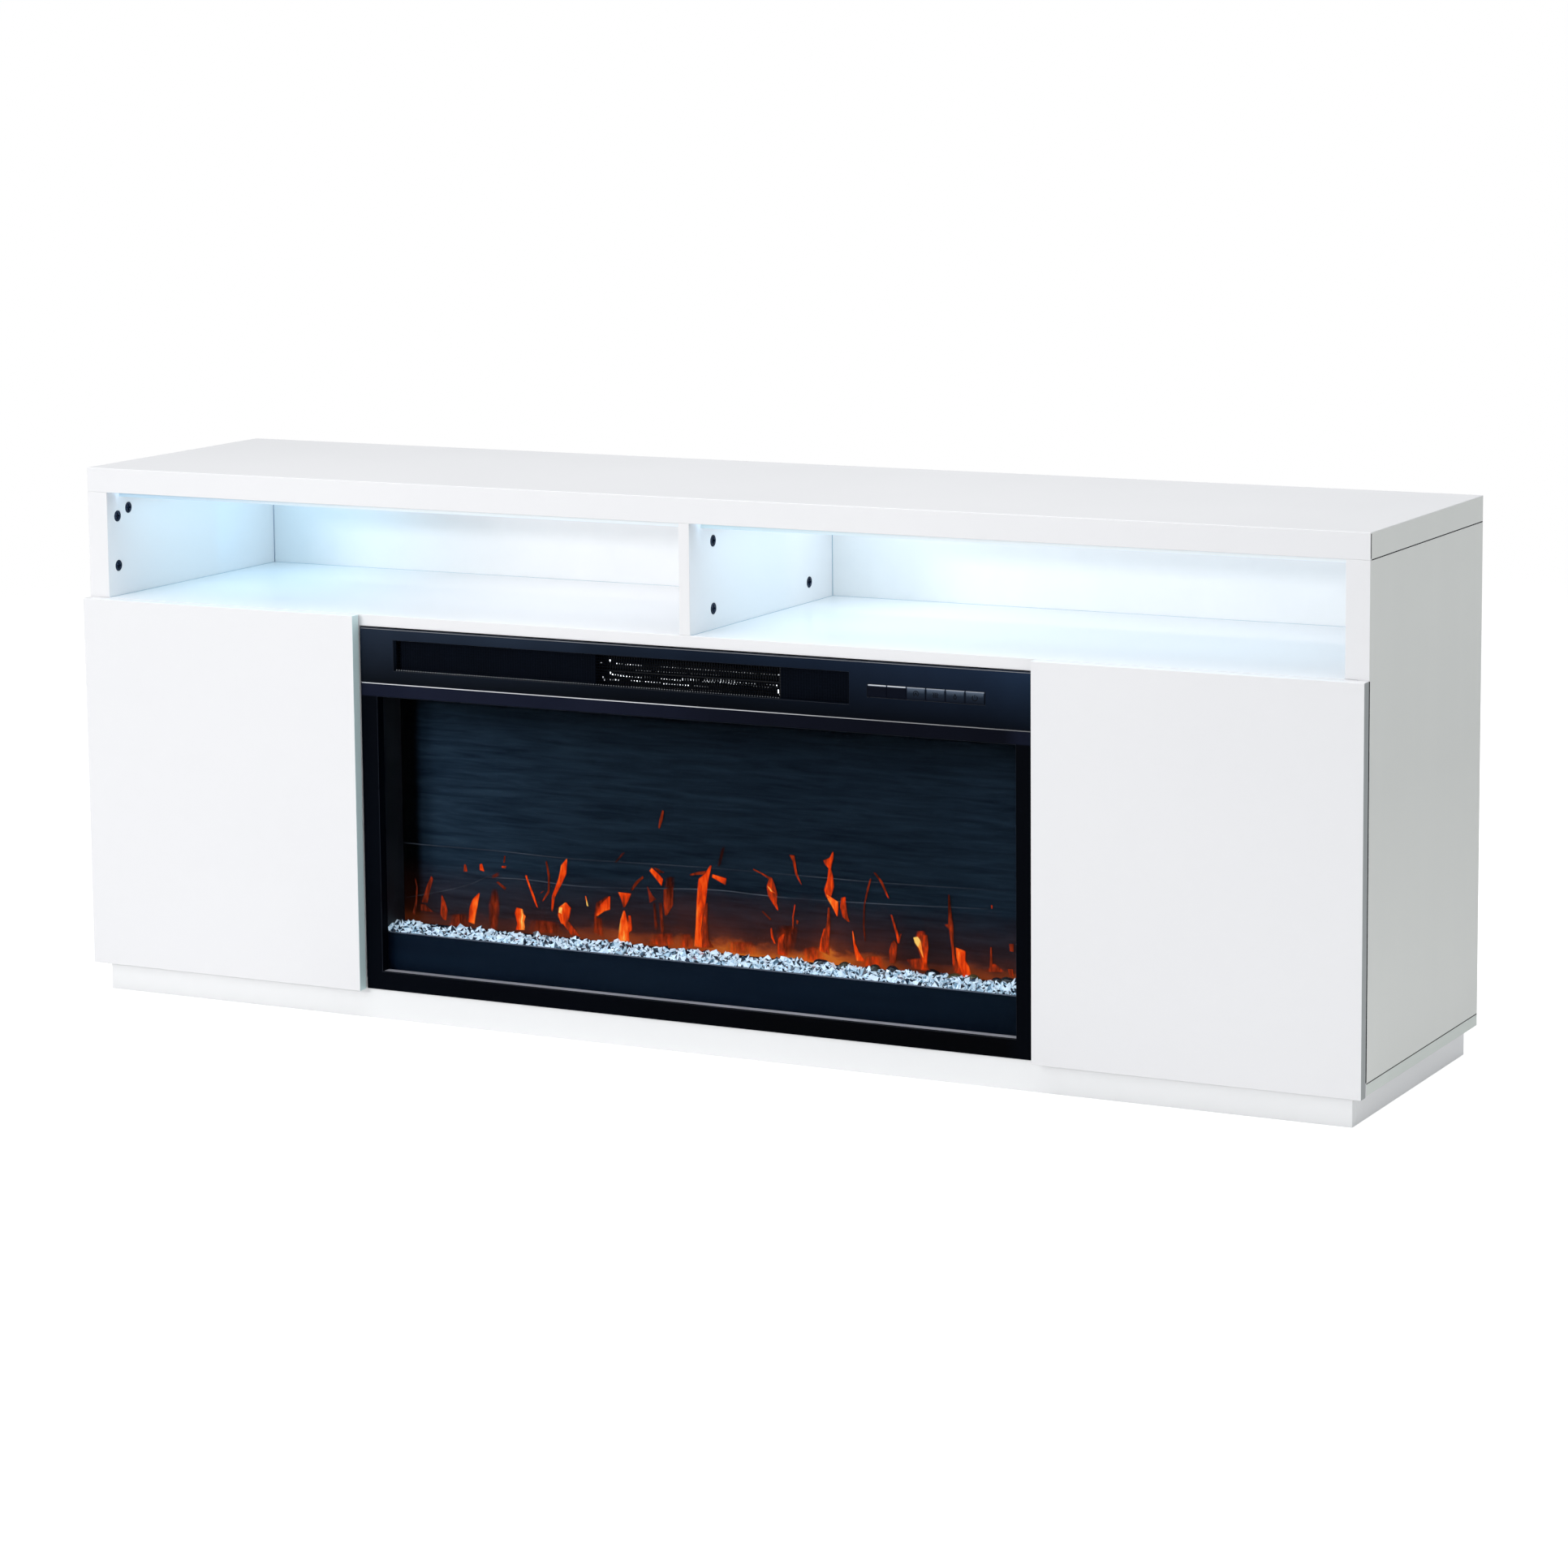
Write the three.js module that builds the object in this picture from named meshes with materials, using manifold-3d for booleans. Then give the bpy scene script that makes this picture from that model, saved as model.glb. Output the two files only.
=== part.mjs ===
// Fireplace TV stand: a low white cabinet with two open lit bays, two doors and an electric fire between them.
// Millimetres, +Z up. X runs along the front, and the front faces -Y. The origin is on the floor under the middle.

import * as THREE from 'three';
import { mergeVertices } from 'three/addons/utils/BufferGeometryUtils.js';
import Module from 'manifold-3d';

const wasm = await Module();
wasm.setup();

// Cabinet
const width = 1780;
const depth = 400;
const height = 698;
const topThickness = 32;
const board = 15;
const doubler = 15;
const bayHeight = 139;
const backThickness = 6;
const plinthHeight = 38.5;
const plinthInset = 16.4;
const fireBayWidth = 946;

// Doors and the clearances that they keep
const doorThickness = 15;
const doorGap = 1.5;
const doorTopReveal = 0.5;
const doorDrop = 1;

// Running and seating clearances
const fit = 0.3;
const linkSideFit = 0.4;
const cutOverrun = 5;
const weld = 1e-4;

// Cam locks
const camRadius = 7.5;
const camDepth = 12;
const camSlotWidth = 2.4;
const camSlotDepth = 2.5;
const camSlotLength = 9;
const camPlaces = [
  { name: 'left_side_cam_front_upper', panel: 'side', back: 23.7, below: 33.6 },
  { name: 'left_side_cam_rear_upper', panel: 'side', back: 48.8, below: 24.9 },
  { name: 'left_side_cam_front_lower', panel: 'side', back: 23.4, above: 39.7 },
  { name: 'divider_cam_front_upper', panel: 'divider', back: 63.5, below: 28.3 },
  { name: 'divider_cam_front_lower', panel: 'divider', back: 62.8, above: 25.9 },
  { name: 'divider_cam_rear_lower', panel: 'divider', ahead: 72.4, above: 26.1 },
];

// Light strips under the top
const stripDepth = 12;
const stripHeight = 7;
const stripSetback = 20;
const stripEndGap = 6;

// Cup hinges, in distances in from the door's outer edge and out from the cabinet's front
const hingeFromEnd = 95;
const cupRadius = 17.5;
const cupFromEdge = 4;
const cupDepth = 12;
const cupWall = 1;
const cupWingReach = 29;
const cupWingStart = 24;
const cupWingEnd = 38;
const cupWingThickness = 0.9;
const cupPinRadius = 1.2;
const cupPinIn = 9;
const cupPinInsideDoor = 6;
const armPinRadius = 1.3;
const armPinIn = 30;
const armPinBack = 2;
const linkHalfThickness = 1.4;
const linkWidth = 9;
const linkBendIn = 21;
const linkBendOut = 16;
const linkCupEyeRadius = 2.6;
const linkArmEyeRadius = 3;
const armCheekThickness = 1.4;
const armEyeRadius = 2.4;
const armWebBack = 9;
const armLength = 62;
const armRise = 8;
const armWeb = 2;
const platePad = 2;
const plateLength = 50;
const plateStart = 24;
const plateReach = 22;
const plateBossWidth = 16;

// Front plates of the fireplace insert
const frontPlate = 2;
const flangeSideGap = 2;
const flangeTopGap = 1;
const flangeFootLift = 0.5;
const fasciaHeight = 71;
const seam = 0.5;
const sideRail = 24;
const upperRail = 17.5;
const footRail = 24;
const rimDepth = 13;
const rimWall = 1.5;

// Casing of the insert
const casingWall = 1.5;
const casingSideGap = 8;
const casingTopGap = 6;
const casingDepth = 145;
const chamberTopGap = 1.5;
const shelfSetback = 20;

// Glass, ember tray, crystals and flame screen
const glassThickness = 4;
const glassLap = 5;
const apronHeight = 57;
const trayFloorHeight = 41;
const trayWall = 1.5;
const bedCrown = 32;
const bedEdge = 24;
const bedFacet = 4;
const bedCellLength = 26;
const bedRows = 4;
const bedWaveShares = { along: [2.3, 1.7], across: [4.1, 2.9] };
const screenSetback = 80;
const screenThickness = 2;
const ledBarDepth = 12;
const ledBarHeight = 6;
const ledBarEndGap = 30;

// Flame rotor and its motor
const rotorSetback = 112;
const rotorHeight = 46;
const rotorShaftRadius = 3;
const rotorBladeReach = 16;
const rotorBladeLength = 60;
const rotorBladeThickness = 1.2;
const rotorBladeCount = 10;
const rotorBladeTurn = 75;
const rotorEndGap = 5;
const rotorBossRadius = 8;
const rotorBossLength = 8;
const rotorMotorRadius = 24;
const rotorMotorLength = 23;
const rotorMotorSocket = 12;

// Air slot, grille, heater and blower
const slotFromLeft = 49.5;
const slotFromRight = 245;
const slotFromTop = 15;
const slotHeight = 39.5;
const slotRimDepth = 6;
const slotRimWall = 1.5;
const grilleLap = 3;
const grilleThickness = 1.5;
const grilleBar = 1.6;
const grilleRows = 3;
const grilleColumns = 12;
const heaterLength = 255;
const heaterFromSlotEnd = 110;
const heaterSetback = 26;
const heaterDepth = 12;
const heaterRail = 8;
const heaterMidRail = 3;
const heaterFin = 1.6;
const heaterCells = 20;
const housingWall = 1.5;
const housingSideGap = 12;
const housingDepth = 117;
const intakeMargin = 24;
const blowerSetback = 88;
const blowerRadius = 21;
const blowerBladeDepth = 5;
const blowerBladeThickness = 1.2;
const blowerBladeCount = 12;
const blowerDiscThickness = 1.5;
const blowerShaftRadius = 2.5;
const blowerEndGap = 5;
const blowerMotorRadius = 20;
const blowerMotorLength = 40;
const blowerMotorSocket = 14;

// Push buttons and their board
const buttonCount = 6;
const buttonPitch = 26;
const buttonHeight = 15;
const buttonGap = 0.4;
const buttonsFromRight = 64;
const buttonFromTop = 28.5;
const buttonProud = 0.5;
const buttonBody = 6;
const buttonKeeper = 1.2;
const buttonStemRadius = 2;
const buttonStemLength = 5;
const buttonTravel = 1.5;
const boardThickness = 1.6;
const boardMargin = 6;
const boardRise = 10;
const boardPostRadius = 2.5;
const boardPostInset = 3.5;

// Cord gland in the casing's back
const glandFromSide = 135;
const glandLift = 36;
const glandBore = 4;
const glandStemRadius = 7;
const glandFlangeRadius = 11;
const glandFlangeThickness = 2.5;
const glandNoseRadius = 6;
const glandNoseLength = 13;
const glandStemInside = 3;

// Roundness of turned pieces, in sides
const smallSides = 12;
const roundSides = 24;
const bendSteps = 7;

// Places that follow from the sizes above, with y at zero on the cabinet's front
const halfWidth = width / 2;
const overallDepth = depth + doorGap + doorThickness;
const cabinetFront = doorGap + doorThickness - overallDepth / 2;
const topUnderside = height - topThickness;
const deckTop = topUnderside - bayHeight;
const deckUnderside = deckTop - board;
const floorTop = plinthHeight + board;
const sideInner = halfWidth - board;
const bayInner = sideInner - doubler;
const partitionInner = fireBayWidth / 2;
const partitionOuter = partitionInner + board;
const backFront = depth - backThickness;
const plinthOuter = halfWidth - plinthInset;

// Colours read off the real piece
const whiteLacquer = new THREE.MeshStandardMaterial({ color: 0xf1f2f4, roughness: 0.32, metalness: 0 });
const backLacquer = new THREE.MeshStandardMaterial({ color: 0xeef1f4, roughness: 0.5, metalness: 0 });
const camZinc = new THREE.MeshStandardMaterial({ color: 0x5a5c5e, roughness: 0.5, metalness: 0.8 });
const stripLight = new THREE.MeshStandardMaterial({
  color: 0xc5e2f6, roughness: 0.4, metalness: 0, emissive: 0x9fd0f5,
});
const hingeSteel = new THREE.MeshStandardMaterial({ color: 0xb9bcbe, roughness: 0.3, metalness: 1 });
const blackPlate = new THREE.MeshStandardMaterial({ color: 0x12151f, roughness: 0.25, metalness: 0.1 });
const casingSteel = new THREE.MeshStandardMaterial({ color: 0x1a1c20, roughness: 0.6, metalness: 0.4 });
const smokedGlass = new THREE.MeshStandardMaterial({
  color: 0x18222e, roughness: 0.05, metalness: 0, transparent: true, opacity: 0.35,
});
const crystal = new THREE.MeshStandardMaterial({ color: 0xe6ebef, roughness: 0.1, metalness: 0 });
const screenFilm = new THREE.MeshStandardMaterial({ color: 0x1b2633, roughness: 0.5, metalness: 0 });
const rotorFoil = new THREE.MeshStandardMaterial({ color: 0xc9ccd0, roughness: 0.2, metalness: 1 });
const heaterMetal = new THREE.MeshStandardMaterial({ color: 0x8b8f94, roughness: 0.4, metalness: 0.9 });
const blackPlastic = new THREE.MeshStandardMaterial({ color: 0x17181b, roughness: 0.45, metalness: 0 });
const boardGreen = new THREE.MeshStandardMaterial({ color: 0x1f4a34, roughness: 0.5, metalness: 0 });

// A closed solid for joining and cutting
function toSolid(geometry) {
  const bare = geometry.clone();
  for (const name of Object.keys(bare.attributes)) {
    if (name !== 'position') bare.deleteAttribute(name);
  }
  const merged = mergeVertices(bare, weld);
  return new wasm.Manifold(new wasm.Mesh({
    numProp: 3,
    vertProperties: new Float32Array(merged.attributes.position.array),
    triVerts: new Uint32Array(merged.index.array),
  }));
}

function toGeometry(solid) {
  const mesh = solid.getMesh();
  const geometry = new THREE.BufferGeometry();
  geometry.setAttribute('position', new THREE.BufferAttribute(new Float32Array(mesh.vertProperties), 3));
  geometry.setIndex(new THREE.BufferAttribute(new Uint32Array(mesh.triVerts), 1));
  geometry.computeVertexNormals();
  return geometry;
}

function join(first, ...others) {
  return toGeometry(others.reduce((sum, geometry) => sum.add(toSolid(geometry)), toSolid(first)));
}

function cut(first, ...tools) {
  return toGeometry(tools.reduce((rest, geometry) => rest.subtract(toSolid(geometry)), toSolid(first)));
}

// A box between two corners, given as ranges along X, Y and Z
function block([x0, x1], [y0, y1], [z0, z1]) {
  const box = new THREE.BoxGeometry(x1 - x0, y1 - y0, z1 - z0);
  return box.translate((x0 + x1) / 2, (y0 + y1) / 2, (z0 + z1) / 2);
}

// A round bar along one axis, through a point, between two values on that axis
function bar(axis, radius, [from, to], [x, y, z], sides = smallSides) {
  const cylinder = new THREE.CylinderGeometry(radius, radius, to - from, sides);
  cylinder.translate(0, (from + to) / 2, 0);
  if (axis === 'x') cylinder.rotateZ(-Math.PI / 2);
  if (axis === 'z') cylinder.rotateX(Math.PI / 2);
  return cylinder.translate(x, y, z);
}

// An outline in the plane across an axis, carried along that axis; the plane's pairs run yz, zx and xy
function prism(axis, outline, [from, to]) {
  const shape = new THREE.Shape(outline.map(([a, b]) => new THREE.Vector2(a, b)));
  const body = new THREE.ExtrudeGeometry(shape, { depth: to - from, bevelEnabled: false });
  body.translate(0, 0, from);
  const [alongX, alongY, alongZ] = [
    new THREE.Vector3(1, 0, 0), new THREE.Vector3(0, 1, 0), new THREE.Vector3(0, 0, 1),
  ];
  const turn = new THREE.Matrix4();
  if (axis === 'x') turn.makeBasis(alongY, alongZ, alongX);
  if (axis === 'y') turn.makeBasis(alongZ, alongX, alongY);
  return body.applyMatrix4(turn);
}

const stand = new THREE.Group();
const cabinet = new THREE.Group();
cabinet.position.y = cabinetFront;
stand.add(cabinet);

function place(name, geometry, material) {
  const mesh = new THREE.Mesh(geometry, material);
  mesh.name = name;
  cabinet.add(mesh);
}

// Ranges mirrored to the left or right half of the cabinet
function toSide(side, [inner, outer]) {
  return side < 0 ? [-outer, -inner] : [inner, outer];
}

const sides = [{ name: 'left', side: -1 }, { name: 'right', side: 1 }];

// Each cam sits in a bore in the face that looks to the right
function camPlace(cam) {
  const face = cam.panel === 'side' ? -bayInner : board / 2;
  const y = cam.back === undefined ? depth - cam.ahead : cam.back;
  const z = cam.below === undefined ? deckTop + cam.above : topUnderside - cam.below;
  return { face, y, z };
}

function camBores(panel) {
  return camPlaces.filter((cam) => cam.panel === panel).map((cam) => {
    const { face, y, z } = camPlace(cam);
    return bar('x', camRadius, [face - camDepth, face + cutOverrun], [0, y, z], roundSides);
  });
}

function makeCams() {
  for (const cam of camPlaces) {
    const { face, y, z } = camPlace(cam);
    const disc = bar('x', camRadius - fit, [face - camDepth + fit, face], [0, y, z], roundSides);
    const half = camSlotLength / 2;
    const blade = camSlotWidth / 2;
    const cutX = [face - camSlotDepth, face + cutOverrun];
    const across = block(cutX, [y - half, y + half], [z - blade, z + blade]);
    const upright = block(cutX, [y - blade, y + blade], [z - half, z + half]);
    place(cam.name, cut(disc, across, upright), camZinc);
  }
}

// The side boards are doubled beside the open bays, above the deck
function sidePanel(side) {
  const outline = [
    [floorTop, side * halfWidth], [floorTop, side * sideInner], [deckTop, side * sideInner],
    [deckTop, side * bayInner], [topUnderside, side * bayInner], [topUnderside, side * halfWidth],
  ];
  return prism('y', outline, [0, depth]);
}

function makeCarcass() {
  place('top_panel', block([-halfWidth, halfWidth], [0, depth], [topUnderside, height]), whiteLacquer);
  place('left_side_panel', cut(sidePanel(-1), ...camBores('side')), whiteLacquer);
  place('right_side_panel', sidePanel(1), whiteLacquer);
  place('deck_shelf', block([-sideInner, sideInner], [0, depth], [deckUnderside, deckTop]), whiteLacquer);
  const divider = block([-board / 2, board / 2], [0, backFront], [deckTop, topUnderside]);
  place('centre_divider', cut(divider, ...camBores('divider')), whiteLacquer);
  place('bottom_panel', block([-halfWidth, halfWidth], [0, depth], [plinthHeight, floorTop]), whiteLacquer);
  const upperBack = block([-bayInner, bayInner], [backFront, depth], [deckTop, topUnderside]);
  place('upper_back_panel', upperBack, backLacquer);
  for (const { name, side } of sides) {
    const wide = toSide(side, [partitionInner, partitionOuter]);
    place(`${name}_partition`, block(wide, [0, depth], [floorTop, deckUnderside]), whiteLacquer);
    const across = toSide(side, [partitionOuter, sideInner]);
    place(`${name}_back_panel`, block(across, [backFront, depth], [floorTop, deckUnderside]), backLacquer);
  }
}

function makePlinth() {
  const tall = [0, plinthHeight];
  place('plinth_front', block([-plinthOuter, plinthOuter], [0, board], tall), whiteLacquer);
  place('plinth_back', block([-plinthOuter, plinthOuter], [depth - board, depth], tall), whiteLacquer);
  for (const { name, side } of sides) {
    const across = toSide(side, [plinthOuter - board, plinthOuter]);
    place(`plinth_${name}`, block(across, [board, depth - board], tall), whiteLacquer);
  }
}

// Light strips, hidden behind the top's front edge
function makeStrips() {
  for (const { name, side } of sides) {
    const across = toSide(side, [board / 2 + stripEndGap, bayInner - stripEndGap]);
    const tall = [topUnderside - stripHeight, topUnderside];
    const strip = block(across, [stripSetback, stripSetback + stripDepth], tall);
    place(`${name}_led_strip`, strip, stripLight);
  }
}

// Doors overlap the sides and the partitions in full, and hold two cups each
const doorTop = deckTop - doorTopReveal;
const doorFoot = plinthHeight - doorDrop;
const hingePlaces = [
  { name: 'upper', z: doorTop - hingeFromEnd },
  { name: 'lower', z: doorFoot + hingeFromEnd },
];
const cupCentreIn = cupFromEdge + cupRadius;
const cupPinOut = doorGap + cupPinInsideDoor;

// From distances in from the outer edge and out from the front to a point in plan
function plan(side, into, out) {
  return [side * (halfWidth - into), -out];
}

function makeDoors() {
  for (const { name, side } of sides) {
    const across = toSide(side, [partitionInner, halfWidth]);
    const slab = block(across, [-doorGap - doorThickness, -doorGap], [doorFoot, doorTop]);
    const [cupX] = plan(side, cupCentreIn, 0);
    const bores = hingePlaces.map(({ z }) => {
      const along = [-doorGap - cupDepth, -doorGap + cutOverrun];
      return bar('y', cupRadius, along, [cupX, 0, z], roundSides);
    });
    place(`${name}_door`, cut(slab, ...bores), whiteLacquer);
  }
}

// The cup: a bucket in the door with two screw wings on the door's back and a pin for the link
function hingeCup(side, z) {
  const [x] = plan(side, cupCentreIn, 0);
  const outerRadius = cupRadius - fit;
  const innerRadius = outerRadius - cupWall;
  const floor = -doorGap - cupDepth + fit;
  const bucket = bar('y', outerRadius, [floor, -doorGap], [x, 0, z], roundSides);
  const [wingA] = plan(side, cupWingStart, 0);
  const [wingB] = plan(side, cupWingEnd, 0);
  const wingX = [Math.min(wingA, wingB), Math.max(wingA, wingB)];
  const wing = block(wingX, [-doorGap, -doorGap + cupWingThickness], [z - cupWingReach, z + cupWingReach]);
  const rim = bar('y', outerRadius, [-doorGap - cupWall, -doorGap + cupWingThickness], [x, 0, z], roundSides);
  const [edgeX] = plan(side, cupFromEdge - cutOverrun, 0);
  const bareX = [Math.min(edgeX, wingA), Math.max(edgeX, wingA)];
  const bare = block(bareX, [-doorGap - cutOverrun, cutOverrun], [z - 2 * cupRadius, z + 2 * cupRadius]);
  const hollow = bar('y', innerRadius, [floor + cupWall, cutOverrun], [x, 0, z], roundSides);
  const off = cupCentreIn - cupPinIn;
  const chord = Math.sqrt(innerRadius ** 2 - off ** 2) + cupWall / 2;
  const [pinX, pinY] = plan(side, cupPinIn, cupPinOut);
  const pin = bar('z', cupPinRadius, [z - chord, z + chord], [pinX, pinY, 0]);
  return join(cut(join(bucket, wing, cut(rim, bare)), hollow), pin);
}

// The link: a bent bar whose centre line is a curve from the cup's pin round the cup's lip to the arm's pin
function hingeLink(side, z) {
  const curve = new THREE.QuadraticBezierCurve(
    new THREE.Vector2(...plan(side, cupPinIn, cupPinOut)),
    new THREE.Vector2(...plan(side, linkBendIn, linkBendOut)),
    new THREE.Vector2(...plan(side, armPinIn, -armPinBack)),
  );
  const edge = (offset) => Array.from({ length: bendSteps + 1 }, (_, step) => {
    const share = step / bendSteps;
    const point = curve.getPoint(share);
    const along = curve.getTangent(share);
    return [point.x - along.y * offset, point.y + along.x * offset];
  });
  const band = [...edge(linkHalfThickness), ...edge(-linkHalfThickness).reverse()];
  const tall = [z - linkWidth / 2, z + linkWidth / 2];
  const past = [tall[0] - cutOverrun, tall[1] + cutOverrun];
  const [cupX, cupY] = plan(side, cupPinIn, cupPinOut);
  const [armX, armY] = plan(side, armPinIn, -armPinBack);
  const body = join(
    prism('z', band, tall),
    bar('z', linkCupEyeRadius, tall, [cupX, cupY, 0]),
    bar('z', linkArmEyeRadius, tall, [armX, armY, 0]),
  );
  return cut(
    body,
    bar('z', cupPinRadius + fit, past, [cupX, cupY, 0]),
    bar('z', armPinRadius + fit, past, [armX, armY, 0]),
  );
}

// The arm: two cheeks and a web on a plate that is screwed to the side board's inner face
function hingeArm(side, z) {
  const half = linkWidth / 2 + linkSideFit;
  const outer = half + armCheekThickness;
  const [pinX, pinY] = plan(side, armPinIn, -armPinBack);
  const span = (a, b) => [Math.min(a, b), Math.max(a, b)];
  const inTo = (from, to) => span(plan(side, from, 0)[0], plan(side, to, 0)[0]);
  const rise = [armPinIn - armRise, armPinIn + armEyeRadius];
  const cheekOutline = [
    plan(side, armPinIn - armEyeRadius, -armPinBack), plan(side, armPinIn + armEyeRadius, -armPinBack),
    plan(side, rise[1], -armLength), plan(side, rise[0], -armLength), plan(side, rise[0], -armWebBack),
  ];
  const cheeks = [[z - outer, z - half], [z + half, z + outer]].flatMap((tall) => [
    prism('z', cheekOutline, tall),
    bar('z', armEyeRadius, tall, [pinX, pinY, 0]),
  ]);
  const web = block(inTo(rise[0], rise[0] + armWeb), [armWebBack, armLength], [z - outer, z + outer]);
  const plate = block(
    inTo(board, board + platePad),
    [plateStart, plateStart + plateLength],
    [z - plateReach, z + plateReach],
  );
  const boss = block(
    inTo(board, rise[0] + armWeb),
    [plateStart + platePad, armLength - platePad],
    [z - plateBossWidth / 2, z + plateBossWidth / 2],
  );
  const pin = bar('z', armPinRadius, [z - outer, z + outer], [pinX, pinY, 0]);
  return join(cheeks[0], ...cheeks.slice(1), web, plate, boss, pin);
}

function makeHinges() {
  for (const { name, side } of sides) {
    for (const hinge of hingePlaces) {
      place(`${name}_${hinge.name}_hinge_cup`, hingeCup(side, hinge.z), hingeSteel);
      place(`${name}_${hinge.name}_hinge_link`, hingeLink(side, hinge.z), hingeSteel);
      place(`${name}_${hinge.name}_hinge_arm`, hingeArm(side, hinge.z), hingeSteel);
    }
  }
}

// Places in the fireplace insert
const flangeHalf = partitionInner - flangeSideGap;
const flangeTop = deckUnderside - flangeTopGap;
const flangeFoot = plinthHeight + flangeFootLift;
const fasciaFoot = flangeTop - fasciaHeight;
const frameTop = fasciaFoot - seam;
const viewHalf = flangeHalf - sideRail;
const viewTop = frameTop - upperRail;
const viewFoot = flangeFoot + footRail;
const casingHalf = partitionInner - casingSideGap;
const casingTop = deckUnderside - casingTopGap;
const insideHalf = casingHalf - casingWall;
const insideFloor = floorTop + casingWall;
const insideTop = casingTop - casingWall;
const insideBack = casingDepth - casingWall;
const shelfUnderside = frameTop - chamberTopGap;
const shelfTop = shelfUnderside + casingWall;
const glassFront = rimDepth + fit;
const glandX = casingHalf - glandFromSide;
const trayFront = glassFront + glassThickness + fit;
const trayBack = screenSetback - fit;
const rotorZ = insideFloor + rotorHeight;

function makeGlassFrame() {
  const plate = block([-flangeHalf, flangeHalf], [-frontPlate, 0], [flangeFoot, frameTop]);
  const rimHalf = viewHalf + rimWall;
  const rim = block([-rimHalf, rimHalf], [-frontPlate, rimDepth], [viewFoot - rimWall, viewTop + rimWall]);
  const through = [-frontPlate - cutOverrun, rimDepth + cutOverrun];
  const view = block([-viewHalf, viewHalf], through, [viewFoot, viewTop]);
  place('glass_frame', cut(join(plate, rim), view), blackPlate);
}

const slotLeft = slotFromLeft - flangeHalf;
const slotRight = flangeHalf - slotFromRight;
const slotTop = flangeTop - slotFromTop;
const slotFoot = slotTop - slotHeight;
const buttonTop = flangeTop - buttonFromTop;
const buttonFoot = buttonTop - buttonHeight;
const buttonRowRight = flangeHalf - buttonsFromRight;
const buttonRowLeft = buttonRowRight - buttonCount * buttonPitch;

function makeFascia() {
  const plate = block([-flangeHalf, flangeHalf], [-frontPlate, 0], [fasciaFoot, flangeTop]);
  const rim = block(
    [slotLeft - slotRimWall, slotRight + slotRimWall],
    [-frontPlate, slotRimDepth],
    [slotFoot - slotRimWall, slotTop + slotRimWall],
  );
  const through = [-frontPlate - cutOverrun, slotRimDepth + cutOverrun];
  const slot = block([slotLeft, slotRight], through, [slotFoot, slotTop]);
  const row = [buttonRowLeft - fit, buttonRowRight + fit];
  const window = block(row, through, [buttonFoot - fit, buttonTop + fit]);
  place('control_fascia', cut(join(plate, rim), slot, window), blackPlate);
}

// The casing: an open-fronted box with a shelf over the flame chamber and a bearing for the rotor
function makeCasing() {
  const shell = block([-casingHalf, casingHalf], [0, casingDepth], [floorTop, casingTop]);
  const chamber = block([-insideHalf, insideHalf], [-cutOverrun, insideBack], [insideFloor, shelfUnderside]);
  const loft = block([-insideHalf, insideHalf], [-cutOverrun, insideBack], [shelfTop, insideTop]);
  const shelfCut = block([-insideHalf, insideHalf], [-cutOverrun, shelfSetback], [insideFloor, insideTop]);
  const boss = bar('x', rotorBossRadius, [-insideHalf - casingWall / 2, -insideHalf + rotorBossLength],
    [0, rotorSetback, rotorZ]);
  const bearing = bar('x', rotorShaftRadius + fit, [-insideHalf, -insideHalf + rotorBossLength + cutOverrun],
    [0, rotorSetback, rotorZ]);
  const glandHole = bar('y', glandStemRadius + fit, [insideBack - cutOverrun, casingDepth + cutOverrun],
    [glandX, 0, insideFloor + glandLift]);
  const hollowed = cut(shell, chamber, loft, shelfCut);
  place('fireplace_casing', cut(join(hollowed, boss), bearing, glandHole), casingSteel);
}

function makeGlass() {
  const half = viewHalf + glassLap;
  const tall = [viewFoot - glassLap, viewTop + glassLap];
  place('front_glass', block([-half, half], [glassFront, glassFront + glassThickness], tall), smokedGlass);
}

// The tray: two long walls and a floor between them, standing on the casing's floor
function makeTray() {
  const half = insideHalf - fit;
  const apronTop = insideFloor + apronHeight;
  const floorUnder = insideFloor + trayFloorHeight;
  const apron = block([-half, half], [trayFront, trayFront + trayWall], [insideFloor, apronTop]);
  const floor = block([-half, half], [trayFront, trayBack], [floorUnder, floorUnder + trayWall]);
  const rear = block([-half, half], [trayBack - trayWall, trayBack], [insideFloor, apronTop]);
  place('ember_tray', join(apron, floor, rear), blackPlastic);
  const barHalf = half - ledBarEndGap;
  const barMiddle = (trayFront + trayBack) / 2;
  const across = [barMiddle - ledBarDepth / 2, barMiddle + ledBarDepth / 2];
  const tall = [floorUnder - fit - ledBarHeight, floorUnder - fit];
  place('ember_led_bar', block([-barHalf, barHalf], across, tall), stripLight);
}

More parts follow.
